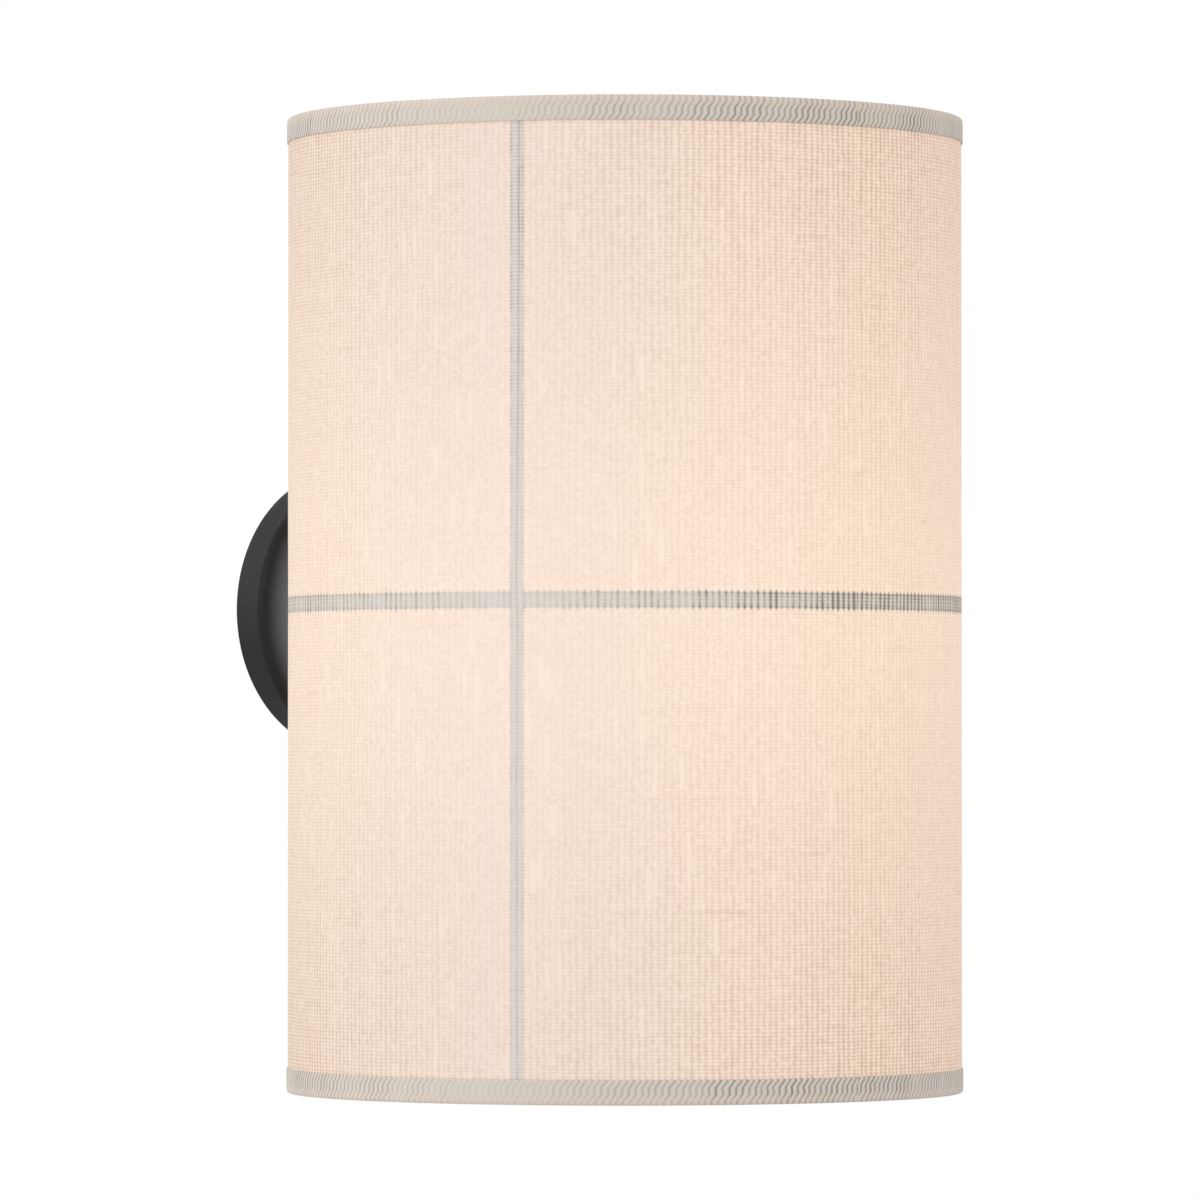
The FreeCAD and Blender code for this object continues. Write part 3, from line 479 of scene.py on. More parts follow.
@dataclass(frozen=True)
class Linen:
    """Plain weave of uneven threads, lit from inside, with the opaque frame behind it."""

    name: str
    thread: Colour
    thread_pink: Colour
    # thread tone away from the key light: painted shade
    thread_shaded: Colour
    groove: Colour
    glow_middle: Colour
    glow_rim: Colour
    warp_pitch: float = 1.85 * MM
    weft_pitch: float = 0.98 * MM
    radius: float = DRUM_RADIUS
    half_height: float = CLOTH_HALF
    warp_drift: float = 1.3
    weft_drift: float = 1.0
    warp_seed: float = 0.0
    weft_seed: float = 11.0
    float_wefts: float = 9.0
    # painted key-light shade: plainer, darker and yellower threads away from key_lit_turn
    plain_least: float = 0.06
    plain_gain: float = 1.70
    # weave contrast, painted light: weaker in the middle, where the glow washes it out
    middle_show: float = 0.48
    wall_show: float = 0.22
    rim_show: float = 0.78
    uprights: int = 3
    hoop_half: float = 2.25 * MM
    upright_half: float = 1.85 * MM
    spread: float = 85 * MM
    # the turn of the drum that faces the key light
    key_lit_turn: float = math.radians(297)
    backed: Colour = (0.790, 0.752, 0.708)
    backed_share: float = 0.45
    held_back: float = 0.88
    shadow: float = 0.22
    relief: float = 0.12 * MM
    # band of painted shadow under the tape's edge
    tape_shadow_from: float = 129.5 * MM
    tape_shadow_to: float = 130.3 * MM

    def _threads(self, s: Shader, across: Value, along: Value, pitch: float, drift: float,
                 seed: float) -> Tuple[Value, Value, Value]:
        """Threads side by side whose spacing drifts.

        Args:
            s: the shader.
            across: metres across the threads.
            along: metres along them.
            pitch: metres from one to the next.
            drift: how far they wander, in threads.
            seed: sets this set of threads apart from others.

        Returns:
            The count of threads, the groove between them from 0 to 1 with its own depth, and
            a streak that runs along single threads.
        """
        wander = s.noise(s.join(across, 0.22 * along, seed), 70.0, 3.0) - 0.5
        count = across / pitch + drift * wander
        line = (count + 0.5).floor()
        fade = s.noise(s.join(170.0 * along, 7.3 * line, seed), 1.0, 2.0).step(0.28, 0.64)
        depth = (0.76 + 0.24 * s.chance(line, seed)) * (0.58 + 0.42 * fade)
        thread = s.chance(count.floor(), seed + 31.0)
        streak = s.noise(s.join(42.0 * along, 5.1 * count.floor(), seed + 4.0), 1.0, 1.0)
        slub = streak.step(0.60, 0.74) * thread.step(0.55, 0.95)
        return count, count.wave() ** 1.5 * depth, slub

    def _weave(self, s: Shader, around: Value, up: Value, show: Value) -> Weave:
        """The grid of warp and weft.

        The grooves between threads darken the cloth, more where the weave shows plainly. Single
        crossings stand out, and short runs of a warp thread float on top and are paler.

        Args:
            s: the shader.
            around: metres along the cloth.
            up: metres across it.
            show: how plainly the weave shows.

        Returns:
            The grid.
        """
        warps, warp, rib = self._threads(s, around, up, self.warp_pitch, self.warp_drift,
                                         self.warp_seed)
        waved = up + 0.10 * self.weft_pitch * (warps * 0.5).wave()
        wefts, weft, slub = self._threads(s, waved, around, self.weft_pitch, self.weft_drift,
                                          self.weft_seed)
        crossing = s.chance((2 * warps).floor(), wefts.floor()) - 0.5
        run = (wefts / self.float_wefts + 7.0 * s.chance(warps.floor(), 3.0)).floor()
        float_run = s.chance(warps.floor(), run + 60.0).step(0.955, 0.965) * (1 - warp)
        grid = 0.56 * warp + 0.42 * weft
        dark = (show * (grid + 0.22 * slub + 0.08 * rib) + (0.17 + 0.10 * show) * crossing
                - 0.34 * (1.2 - show).most(0.0) * float_run)
        height = 1 - warp.most(0.8 * weft) + 0.3 * slub + 0.2 * crossing
        return Weave(warps, warp, weft, dark, height)

    def _strips(self, s: Shader, around: Value, up: Value, weave: Weave, plain: Value,
                lean: Value) -> Tuple[Value, Value]:
        """The frame's strips behind the cloth: the middle hoop and the uprights.

        These marks are painted shade of the strips behind the cloth. The hoop shows as a band
        crossed by dark warp grooves, darker away from the key light. An upright shows as a band
        with dotted edges and a line astray of its middle, darker toward the upper rim. The tape's
        edge casts a painted shadow on the last millimetre of cloth.

        Args:
            s: the shader.
            around: metres along the cloth.
            up: metres across it.
            weave: the grid of warp and weft.
            plain: how far the painted key-light shade has risen at this turn of the drum.
            lean: the sine of the angle from the turn that faces the key light.

        Returns:
            Where a strip lies behind, and how far its shadows darken the cloth, from 0 to 1.
        """
        warp, weft = weave.warp, weave.weft
        share = 2 * math.pi / self.uprights
        offset = ((around / self.radius) % share - 0.5 * share) * self.radius
        side = abs(offset)
        reach = self.hoop_half + 0.55 * MM * warp
        hoop = ((abs(up) - reach) / MM).step(0.45, -0.70)
        post = ((side - self.upright_half - 0.22 * MM * weft) / MM).step(0.50, -0.65)
        hoop_rim = (abs(abs(up) - self.hoop_half + 0.35 * MM) / MM).step(0.75, 0.10) * hoop
        post_rim = (abs(side - self.upright_half + 0.10 * MM) / MM).step(0.65, 0.05) * post
        high = (up / self.half_height).step(0.05, 0.75)
        astray = 0.55 * high + 1.1 * (s.noise(s.join(0.0, up), 26.0, 2.0) - 0.5)
        line = abs(offset / MM - astray).step(0.55, 0.05) * post
        own = 0.68 + 0.60 * s.chance((weave.warps + 0.5).floor(), 77.0)
        # painted shade of the strip seen through the warp gaps, stronger away from the key light
        ticks = (hoop * (0.16 + 0.84 * plain + 0.52 * lean.step(0.50, 0.86))
                 * (1.0 + 0.25 * hoop_rim) * own * warp.most(0.5 * weft))
        broken = 0.20 + 0.80 * s.noise(s.join(around, 0.5 * up), 230.0, 3.0).step(0.35, 0.62)
        # painted shadow of the tape's edge on the cloth
        painted_tape_shadow = (abs(up) / MM).step(self.tape_shadow_from / MM, self.tape_shadow_to / MM) * (0.35 + 0.65 * warp)
        upright = (broken * (0.16 + 0.16 * weft + 0.24 * high) * post_rim
                   + (0.45 + 0.55 * broken) * (0.20 + 0.24 * high) * line
                   + (0.08 + 0.14 * high) * weft * post)
        # painted shade of the strips and of the tape's edge
        painted_strip_shadow = (0.84 * ticks + (0.04 + 0.12 * plain) * hoop_rim + 0.30 * painted_tape_shadow
                + (1 - hoop) * upright).least(0.9)
        return hoop.most(post), painted_strip_shadow

    def make(self) -> bpy.types.Material:
        """Draw the material.

        The thread's tone turns darker and yellower away from the turn that faces the key light:
        painted shade. The bulb adds a warm glow that falls off with the height over the bulb. The
        frame's white strips hold that glow back and make the cloth over them paler. The weave
        shows more toward the rims and on the wall's side, and away from the key light: painted
        light, where the glow and the key light wash it out less.

        Returns:
            The material.
        """
        s = Shader(self.name)
        around, up, _ = s.split(s.weave_place())
        plain = key_light_shade(around, self.radius, self.key_lit_turn, self.plain_least,
                           self.plain_gain)
        lean = (around / self.radius - self.key_lit_turn).sine()
        # weave contrast, painted light: more toward the rims, away from the key light and on the
        # wall's side
        rims = (abs(up) / self.half_height) ** 2.0
        show = (0.29 + 0.82 * plain) * (self.middle_show + self.wall_show * (-1 * lean).most(0.0)
                                        + self.rim_show * rims)
        weave = self._weave(s, around, up, show)
        behind, painted_strip_shadow = self._strips(s, around, up, weave, plain, lean)
        pink = s.noise(s.join(around, up), 11.0, 2.0).step(0.35, 0.68)
        # painted shade: darker, yellower thread away from the key light
        thread = s.mix(plain, s.mix(pink, self.thread, self.thread_pink), self.thread_shaded)
        cloth = s.mix(weave.dark.most(0.0).least(1.0), thread, self.groove)
        backed = s.mix(self.backed_share * behind, cloth, self.backed)
        fall = (1 + (up / self.spread) ** 2.0) ** -1.5
        glow = s.mix(fall, self.glow_rim, self.glow_middle)
        let_through = (1 - self.held_back * behind) * (1 - 0.22 * weave.dark)
        return s.finish(
            Base_Color=s.mix(painted_strip_shadow, backed, tuple(self.shadow * c for c in self.thread)),
            Roughness=0.88, Specular_IOR_Level=0.2, Sheen_Weight=0.15, Sheen_Roughness=0.6,
            Emission_Color=s.shade(glow, let_through), Emission_Strength=1.0,
            Normal=s.bump(weave.height, self.relief, 0.55))


@dataclass(frozen=True)
class Tape:
    """Folded cotton tape with slanted ribs that bend to and fro across it."""

    name: str
    thread: Colour
    # the rim's tone with a painted glow from inside
    thread_rim_glow: Colour
    groove: Colour
    glow: Colour
    rib_pitch: float = 1.85 * MM
    slant: float = 0.38
    zigzag: float = 3.6 * MM
    fine_pitch: float = 0.55 * MM
    relief: float = 0.14 * MM
    radius: float = DRUM_RADIUS
    # the turn of the drum that faces the key light
    key_lit_turn: float = math.radians(294)
    # painted key-light shade: plainer ribs away from key_lit_turn
    plain_least: float = 0.12
    plain_gain: float = 1.90
    # painted shade on one side of key_lit_turn: plainer ribs and a darker thread
    wall_plainer: float = 0.14
    far_painted_shade: float = 0.10
    # painted glow on the roll round the rim, from one height to the next
    rim_glow_from: float = 134.2 * MM
    rim_glow_to: float = 135.6 * MM

    def make(self) -> bpy.types.Material:
        """Draw the material: slanted, bent ribs that fade in patches. Painted glow from inside
        makes the roll round the rim rosier with fainter ribs. Painted shade makes the ribs
        plainer away from the key light, and the thread darker on one side of it.

        Returns:
            The material.
        """
        s = Shader(self.name)
        around, over, _ = s.split(s.weave_place())
        height = abs(s.split(s.place())[2]) / MM
        # painted glow from inside: the roll round the rim is rosier, with fainter ribs
        rim = height.step(self.rim_glow_from / MM, self.rim_glow_to / MM)
        wander = s.noise(s.join(around, over), 150.0, 2.0) - 0.5
        bend = abs((over / self.zigzag) % 1.0 - 0.5)
        count = (around - self.slant * over) / self.rib_pitch + 0.80 * bend + 0.70 * wander
        groove = count.wave() ** 2.4
        own = s.chance((count + 0.5).floor())
        fine = (over / self.fine_pitch + 0.5 * count).wave() ** 2.0
        patch = s.noise(s.join(around, 0.5 * over), 55.0, 2.0).step(0.30, 0.60)
        fuzz = s.noise(s.join(around, over), 1500.0, 2.0)
        lean = (around / self.radius - self.key_lit_turn).sine()
        plain = key_light_shade(around, self.radius, self.key_lit_turn, self.plain_least,
                           self.plain_gain)
        # painted shade: plainer ribs away from the key light, darker thread on one side of it
        show = plain * (1 - self.wall_plainer * lean)
        thread = s.shade(s.mix(rim, self.thread, self.thread_rim_glow), 1 - self.far_painted_shade * lean)
        dark = ((1 - 0.35 * rim) * show * (0.60 + 0.40 * patch)
                * ((0.62 + 0.38 * own) * groove + 0.22 * fine)
                + 0.14 * (fuzz - 0.5)).most(0.0).least(1.0)
        return s.finish(
            Base_Color=s.mix(dark, thread, self.groove),
            Roughness=0.85, Specular_IOR_Level=0.25, Sheen_Weight=0.2, Sheen_Roughness=0.5,
            Emission_Color=s.shade(self.glow, 1 - 0.5 * dark), Emission_Strength=1.0,
            Normal=s.bump(1 - 0.8 * groove - 0.2 * fine, self.relief, 0.6))


Finish = Union[PowderCoat, BrushedMetal, Moulded, Opal, Linen, Tape]
FINISHES: Dict[Slot, Finish] = {
    Slot.BLACK: PowderCoat("black_powder_coat", (0.016, 0.017, 0.019), (0.090, 0.094, 0.100),
                           specular=0.20),
    Slot.WHITE: PowderCoat("white_lacquer", (0.78, 0.77, 0.74), (0.70, 0.68, 0.63), 0.38,
                           0.0007, 0.00003),
    Slot.ZINC: BrushedMetal("zinc_plate", (0.62, 0.63, 0.65), (0.50, 0.52, 0.55)),
    Slot.BRASS: BrushedMetal("drawn_brass", (0.72, 0.55, 0.28), (0.55, 0.40, 0.20), 0.30),
    Slot.NICKEL: BrushedMetal("nickel_plate", (0.70, 0.69, 0.66), (0.60, 0.58, 0.54), 0.24),
    Slot.SOLDER: BrushedMetal("solder_tip", (0.66, 0.66, 0.67), (0.50, 0.50, 0.52), 0.40),
    Slot.PLASTIC: Moulded("lampholder_plastic", (0.82, 0.81, 0.78), (0.77, 0.75, 0.71)),
    Slot.PORCELAIN: Moulded("porcelain_glaze", (0.86, 0.85, 0.82), (0.80, 0.79, 0.75), 0.18,
                            0.0012, 0.00004, 0.4),
    Slot.BEAD: Moulded("insulator_bead", (0.05, 0.05, 0.06), (0.03, 0.03, 0.04), 0.22,
                       0.0010, 0.00003, 0.3),
    Slot.BROWN: Moulded("brown_lead", (0.20, 0.09, 0.05), (0.15, 0.07, 0.04)),
    Slot.BLUE: Moulded("blue_lead", (0.06, 0.14, 0.40), (0.05, 0.11, 0.32)),
    Slot.OPAL: Opal("opal_glow", (0.84, 0.83, 0.80), (1.0, 0.84, 0.62), (0.62, 0.42, 0.24),
                    0.48, -0.033, 0.012),
    Slot.LINEN: Linen("linen_weave", (0.735, 0.692, 0.632), (0.735, 0.672, 0.622),
                      (0.745, 0.662, 0.555), (0.455, 0.350, 0.265),
                      (0.285, 0.164, 0.106), (0.205, 0.100, 0.062)),
    Slot.TAPE: Tape("twill_tape", (0.690, 0.637, 0.572), (0.710, 0.620, 0.552),
                    (0.150, 0.128, 0.106), (0.030, 0.018, 0.010)),
}
# the plate's face wears a cool painted glow and reflection of the lit shade, paler toward its
# middle
PLATE_COAT = PowderCoat("plate_powder_coat", (0.014, 0.015, 0.017), (0.290, 0.350, 0.440),
                        specular=0.16, painted_glow_from=0.0412, painted_glow_to=0.0286)
LINING = Linen("lining_weave", (0.80, 0.76, 0.70), (0.80, 0.75, 0.69), (0.80, 0.75, 0.66),
               (0.66, 0.60, 0.52), (0.480, 0.350, 0.225), (0.240, 0.150, 0.088))


class Wardrobe:
    """Makes each finish once and hands it to the pieces that wear it."""

    def __init__(self) -> None:
        """Start with nothing made."""
        self.made: Dict[str, bpy.types.Material] = {}

    def of(self, finish: Union[Slot, Finish]) -> bpy.types.Material:
        """The material of a finish, made the first time it is asked for.

        Args:
            finish: a finish, or the slot that wears it.

        Returns:
            The material.
        """
        wanted = FINISHES[finish] if isinstance(finish, Slot) else finish
        if wanted.name not in self.made:
            self.made[wanted.name] = wanted.make()
        return self.made[wanted.name]

    def dress(self, finish: Union[Slot, Finish], *nodes: str) -> None:
        """Give CAD nodes a material.

        Args:
            finish: a finish, or the slot that wears it.
            nodes: the nodes' names.
        """
        for name in nodes:
            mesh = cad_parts[name].data
            mesh.materials.clear()
            mesh.materials.append(self.of(finish))
            LOG.info("dressed %s in %s", name, mesh.materials[0].name)


# ------------------------------------------------------------------------------ surfaces


def grid_piece(name: str, points: np.ndarray, weave: np.ndarray, closed: Tuple[bool, bool],
               materials: Sequence[bpy.types.Material],
               material_of: Optional[np.ndarray] = None,
               keep: Optional[np.ndarray] = None) -> bpy.types.Object:
    """A mesh from a grid of points.

    Vertex (i, j) stands at row i and column j. Each face joins four neighbours, in the order
    that looks outwards where rows run around anticlockwise and columns run up.

    Args:
        name: the piece's name.
        points: rows x columns x 3, in metres.
        weave: places on the cloth at the corners of all faces, one more than the points in a
            direction that is closed.
        closed: whether rows and columns join end to end.
        materials: the piece's materials.
        material_of: the material's index of each face, or nothing for the first.
        keep: which faces are kept, or nothing for all.

    Returns:
        The object, in the scene.
    """
    rows, columns = points.shape[:2]
    i, j = np.meshgrid(np.arange(rows if closed[0] else rows - 1),
                       np.arange(columns if closed[1] else columns - 1), indexing="ij")
    corners = [(i, j), (i + 1, j), (i + 1, j + 1), (i, j + 1)]
    faces = np.stack([(a % rows) * columns + b % columns for a, b in corners], -1).reshape(-1, 4)
    places = np.stack([weave[a, b] for a, b in corners], -2).reshape(-1, 4, 2)
    shown = np.ones(len(faces), bool) if keep is None else keep
    faces, places = faces[shown], places[shown]
    used, faces = np.unique(faces, return_inverse=True)
    faces = faces.reshape(-1, 4)
    mesh = bpy.data.meshes.new(name)
    mesh.from_pydata(points.reshape(-1, 3)[used].tolist(), [], faces.tolist())
    mesh.uv_layers.new(name=WEAVE_MAP).data.foreach_set("uv", places.astype(np.float32).ravel())
    for material in materials:
        mesh.materials.append(material)
    if material_of is not None:
        mesh.polygons.foreach_set("material_index", material_of[shown].astype(np.int32))
    mesh.polygons.foreach_set("use_smooth", np.ones(len(faces), bool))
    mesh.validate()
    piece = bpy.data.objects.new(name, mesh)
    bpy.context.scene.collection.objects.link(piece)
    return piece


def reported(piece: bpy.types.Object) -> bpy.types.Object:
    """Log a piece's size in faces and pass it on."""
    LOG.info("made %s with %d faces", piece.name, len(piece.data.polygons))
    return piece


@dataclass
class ShadeCloth:
    """The linen drum and the tapes folded over its two edges."""

    radius: float = DRUM_RADIUS
    thick: float = 0.8 * MM
    half_height: float = CLOTH_HALF
    hole_radius: float = 9.3 * MM
    hole_cells: float = 3.0
    ring_cells: float = 12.0
    pucker: float = 0.06 * MM
    waves: Tuple[int, int, int] = (9, 23, 41)
    slant: float = 40.0
    steps_around: int = 600
    steps_up: int = 76
    tape_thick: float = 0.45 * MM
    tape_width: float = 6.9 * MM
    tape_fold: float = 5.9 * MM
    tape_round: float = 1.1 * MM
    tape_inside: float = 91.75 * MM
    tape_inner_round: float = 0.35 * MM
    tape_inner_top: float = 1.5 * MM
    tape_selvedge: float = 0.3 * MM
    tape_thinned: float = 0.18 * MM
    tape_swell: float = 0.05 * MM
    tape_waves: Tuple[int, int] = (31, 53)
    rim: float = 137.15 * MM
    tape_steps: int = 720

    def build(self, wardrobe: Wardrobe) -> List[bpy.types.Object]:
        """Make the cloth and its tapes.

        Args:
            wardrobe: hands out the materials.

        Returns:
            The pieces.
        """
        cover = self._cover(wardrobe)
        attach(cover, "lamp")
        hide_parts("shade_cover")
        pieces = [reported(cover)]
        for node, sign in (("top_trim", 1.0), ("bottom_trim", -1.0)):
            tape = self._tape(node.replace("trim", "tape"), sign, wardrobe)
            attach(tape, "lamp")
            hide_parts(node)
            pieces.append(reported(tape))
        return pieces

    def _cover(self, wardrobe: Wardrobe) -> bpy.types.Object:
        """The stretched cloth.

        Rows run around the drum from its front, columns go up the outside and down the inside.
        The radius swells and sinks by sines of the turn. They count most at a quarter and at
        three quarters of the way from the middle hoop to each rim, and not at all at a hoop.
        Round the arm, points are drawn from a square onto the circle of the hole.

        Args:
            wardrobe: hands out the materials.

        Returns:
            The cloth.
        """
        turn = np.linspace(0, 2 * np.pi, self.steps_around + 1)
        up = np.linspace(-self.half_height, self.half_height, self.steps_up + 1)
        around, height = np.meshgrid(turn, up, indexing="ij")
        run, rise = self._round_the_hole(around, height)
        free = np.sin(2 * np.pi * np.abs(rise) / self.half_height) ** 2
        slow, quick, fine = self.waves
        wave = (np.sin(slow * run + 1.3) * np.sin(quick * run)
                + 0.5 * np.sin(fine * run + self.slant * rise))
        radius = self.radius + self.pucker * free * wave
        sheets = []
        for depth in (0.0, self.thick):
            r = radius - depth
            sheets.append(np.stack([r * np.sin(run), AXIS_Y - r * np.cos(run), rise], -1))
        places = np.stack([run * self.radius, rise], -1)
        points = np.concatenate([sheets[0], sheets[1][:, ::-1]], 1)[:-1]
        weave = np.concatenate([places, places[:, ::-1], places[:, :1]], 1)
        columns = points.shape[1]
        face = np.tile(np.arange(columns), (self.steps_around, 1))
        inner = (face > self.steps_up) & (face < columns - 1)
        keep = self._outside_the_hole(face)
        return grid_piece("linen_cover", points, weave, (True, True),
                          [wardrobe.of(Slot.LINEN), wardrobe.of(LINING)],
                          inner.ravel().astype(int), keep.ravel())

    def _hole_cell(self) -> Tuple[int, int]:
        """The grid row and column at the hole's middle, on the outside."""
        return self.steps_around // 2, self.steps_up // 2

    def _round_the_hole(self, around: np.ndarray, height: np.ndarray
                        ) -> Tuple[np.ndarray, np.ndarray]:
        """Draw the grid near the arm onto rings round the hole.

        The ring number of a point is the larger of its two distances in cells. The first ring
        kept lies on the hole's circle and the last one where it was. The others go from the
        circle toward their own place by their share of the way. Cells are narrower than tall,
        so at the hole's left and right they dip inside the circle by up to 1.1 mm and fold
        back, mostly inside the sleeve.

        Args:
            around: angles of the grid.
            height: heights of the grid.

        Returns:
            The moved angles and heights.
        """
        row, column = self._hole_cell()
        i, j = np.meshgrid(np.arange(around.shape[0]), np.arange(around.shape[1]), indexing="ij")
        ring = np.maximum(np.abs(i - row), np.abs(j - column)).astype(float)
        beside = (around - np.pi) * self.radius
        far = np.hypot(beside, height)
        far[far == 0] = 1.0
        share = np.clip((ring - self.hole_cells) / (self.ring_cells - self.hole_cells), 0, 1)
        wanted = self.hole_radius + (far - self.hole_radius) * share
        scale = np.where(ring < self.ring_cells, wanted / far, 1.0)
        return np.pi + beside * scale / self.radius, height * scale

    def _outside_the_hole(self, face: np.ndarray) -> np.ndarray:
        """Which faces lie outside the hole's square, on the outside and on the inside.

        On the inside the square stands one cell lower, behind the frame's boss.

        Args:
            face: the column number of each face of the grid.

        Returns:
            True for a face that is kept.
        """
        row, column = self._hole_cell()
        i = np.arange(face.shape[0])[:, None]
        outer = np.where(face <= self.steps_up, face, 2 * self.steps_up + 1 - face)
        return ~((np.abs(i + 0.5 - row) < self.hole_cells)
                 & (np.abs(outer + 0.5 - column) < self.hole_cells))

    def _tape_profile(self) -> np.ndarray:
        """The tape's skin from its outer lower edge over the rim and back along the cloth.

        The outside thins at its lower edge and is then a straight side, an arc at the outer
        corner, a flat top, a small arc and the inner side. The skin then returns along the
        strip and the cloth.

        Returns:
            Radius and height pairs in metres, the rim at height 0.
        """
        out, thick = self.radius + self.tape_thick, self.tape_thick
        corner = np.linspace(0, np.pi / 2, 9)
        small = np.linspace(np.pi / 2, np.pi, 6)
        side = np.stack([np.full(8, out), np.linspace(-self.tape_width, -self.tape_round, 8)], -1)
        edge = np.stack([out - self.tape_thinned * np.array([1.0, 0.45, 0.12]),
                         -self.tape_width + self.tape_selvedge * np.array([0.0, 0.12, 0.45])], -1)
        arc = np.stack([out - self.tape_round * (1 - np.cos(corner)),
                        self.tape_round * (np.sin(corner) - 1)], -1)
        inner_arc = np.stack([self.tape_inside + self.tape_inner_round * (1 + np.cos(small)),
                              self.tape_inner_round * (np.sin(small) - 1)], -1)
        inner = np.stack([np.full(4, self.tape_inside),
                          np.linspace(-self.tape_inner_top, -self.tape_fold, 4)], -1)
        strip = self.tape_inside + thick
        back = np.array([[strip, -self.tape_fold], [strip, -thick], [self.radius, -thick],
                         [self.radius, -self.tape_width]])
        return np.concatenate([edge, side[1:-1], arc, inner_arc, inner, back])

    def _tape(self, name: str, sign: float, wardrobe: Wardrobe) -> bpy.types.Object:
        """A tape carried round one edge of the drum.

        Each point of the profile turns about the drum's axis. The outer skin lies in by a small
        swell, and two sines of the turn bring it out and in by up to as much again.

        Args:
            name: the piece's name.
            sign: 1 for the upper edge, -1 for the lower.
            wardrobe: hands out the materials.

        Returns:
            The tape.
        """
        profile = self._tape_profile()
        if sign < 0:
            profile = profile[::-1]
        length = np.concatenate([[0], np.cumsum(np.hypot(*np.diff(profile, axis=0).T))])
        closing = np.hypot(*(profile[0] - profile[-1]))
        turn = np.linspace(0, 2 * np.pi, self.tape_steps, endpoint=False)
        outer = (profile[:, 0] > self.radius + 0.5 * self.tape_thick) & (profile[:, 1] < 0)
        slow, quick = self.tape_waves
        wave = self.tape_swell * (np.sin(slow * turn + sign) + np.sin(quick * turn)) / 2
        radius = profile[None, :, 0] + outer[None] * (wave[:, None] - self.tape_swell)
        height = self.rim * sign + sign * profile[None, :, 1] + 0 * turn[:, None]
        points = np.stack([radius * np.sin(turn)[:, None],
                           AXIS_Y - radius * np.cos(turn)[:, None], height], -1)
        places = np.concatenate([length, [length[-1] + closing]])
        ends = np.linspace(0, 2 * np.pi, self.tape_steps + 1) * self.radius
        weave = np.stack(np.meshgrid(ends, places, indexing="ij"), -1)
        return grid_piece(name, points, weave, (True, True), [wardrobe.of(Slot.TAPE)])


@dataclass
class WallMount:
    """The round plate, the crossbar behind it and what they hold."""

    plate: Tuple[str, ...] = ("wall_plate",)
    black: Tuple[str, ...] = ("arm_sleeve",)
    zinc: Tuple[str, ...] = ("wall_bracket", "plate_screws", "arm_nut", "arm_washer",
                             "terminal_screws")
    brass: Tuple[str, ...] = ("earth_screw",)
    plastic: Tuple[str, ...] = ("terminal_block",)

    def build(self, wardrobe: Wardrobe) -> None:
        """Dress the pieces on the wall.

        Args:
            wardrobe: hands out the materials.
        """
        wardrobe.dress(PLATE_COAT, *self.plate)
        wardrobe.dress(Slot.BLACK, *self.black)
        wardrobe.dress(Slot.ZINC, *self.zinc)
        wardrobe.dress(Slot.BRASS, *self.brass)
        wardrobe.dress(Slot.PLASTIC, *self.plastic)


@dataclass
class Arm:
    """The bent tube, its flange and the leads inside it."""

    tube: Tuple[str, ...] = ("lamp_arm", "arm_flange")
    brown: str = "lead_live"
    blue: str = "lead_neutral"

    def build(self, wardrobe: Wardrobe) -> None:
        """Dress the arm's pieces.

        Args:
            wardrobe: hands out the materials.
        """
        wardrobe.dress(Slot.BLACK, *self.tube)
        wardrobe.dress(Slot.BROWN, self.brown)
        wardrobe.dress(Slot.BLUE, self.blue)


@dataclass
class ShadeFrame:
    """The flat strips that hold the cloth, and the boss on the arm."""

    strips: Tuple[str, ...] = (
        "frame_top_hoop", "frame_middle_hoop", "frame_bottom_hoop", "frame_boss",
        *(f"upright_{side}_{half}" for side in ("left", "right", "back")
          for half in ("upper", "lower")))

    def build(self, wardrobe: Wardrobe) -> None:
        """Dress the frame."""
        wardrobe.dress(Slot.WHITE, *self.strips)


@dataclass
class LampHolder:
    """The lampholder on the end of the tube."""

    nut: str = "holder_nut"
    shells: Tuple[str, ...] = ("holder_cap", "holder_shell")
    insert: str = "holder_insert"
    brass: Tuple[str, ...] = ("lead_screws", "screw_socket", "contact_tongue")

    def build(self, wardrobe: Wardrobe) -> None:
        """Dress the lampholder.

        Args:
            wardrobe: hands out the materials.
        """
        wardrobe.dress(Slot.ZINC, self.nut)
        wardrobe.dress(Slot.PLASTIC, *self.shells)
        wardrobe.dress(Slot.PORCELAIN, self.insert)
        wardrobe.dress(Slot.BRASS, *self.brass)


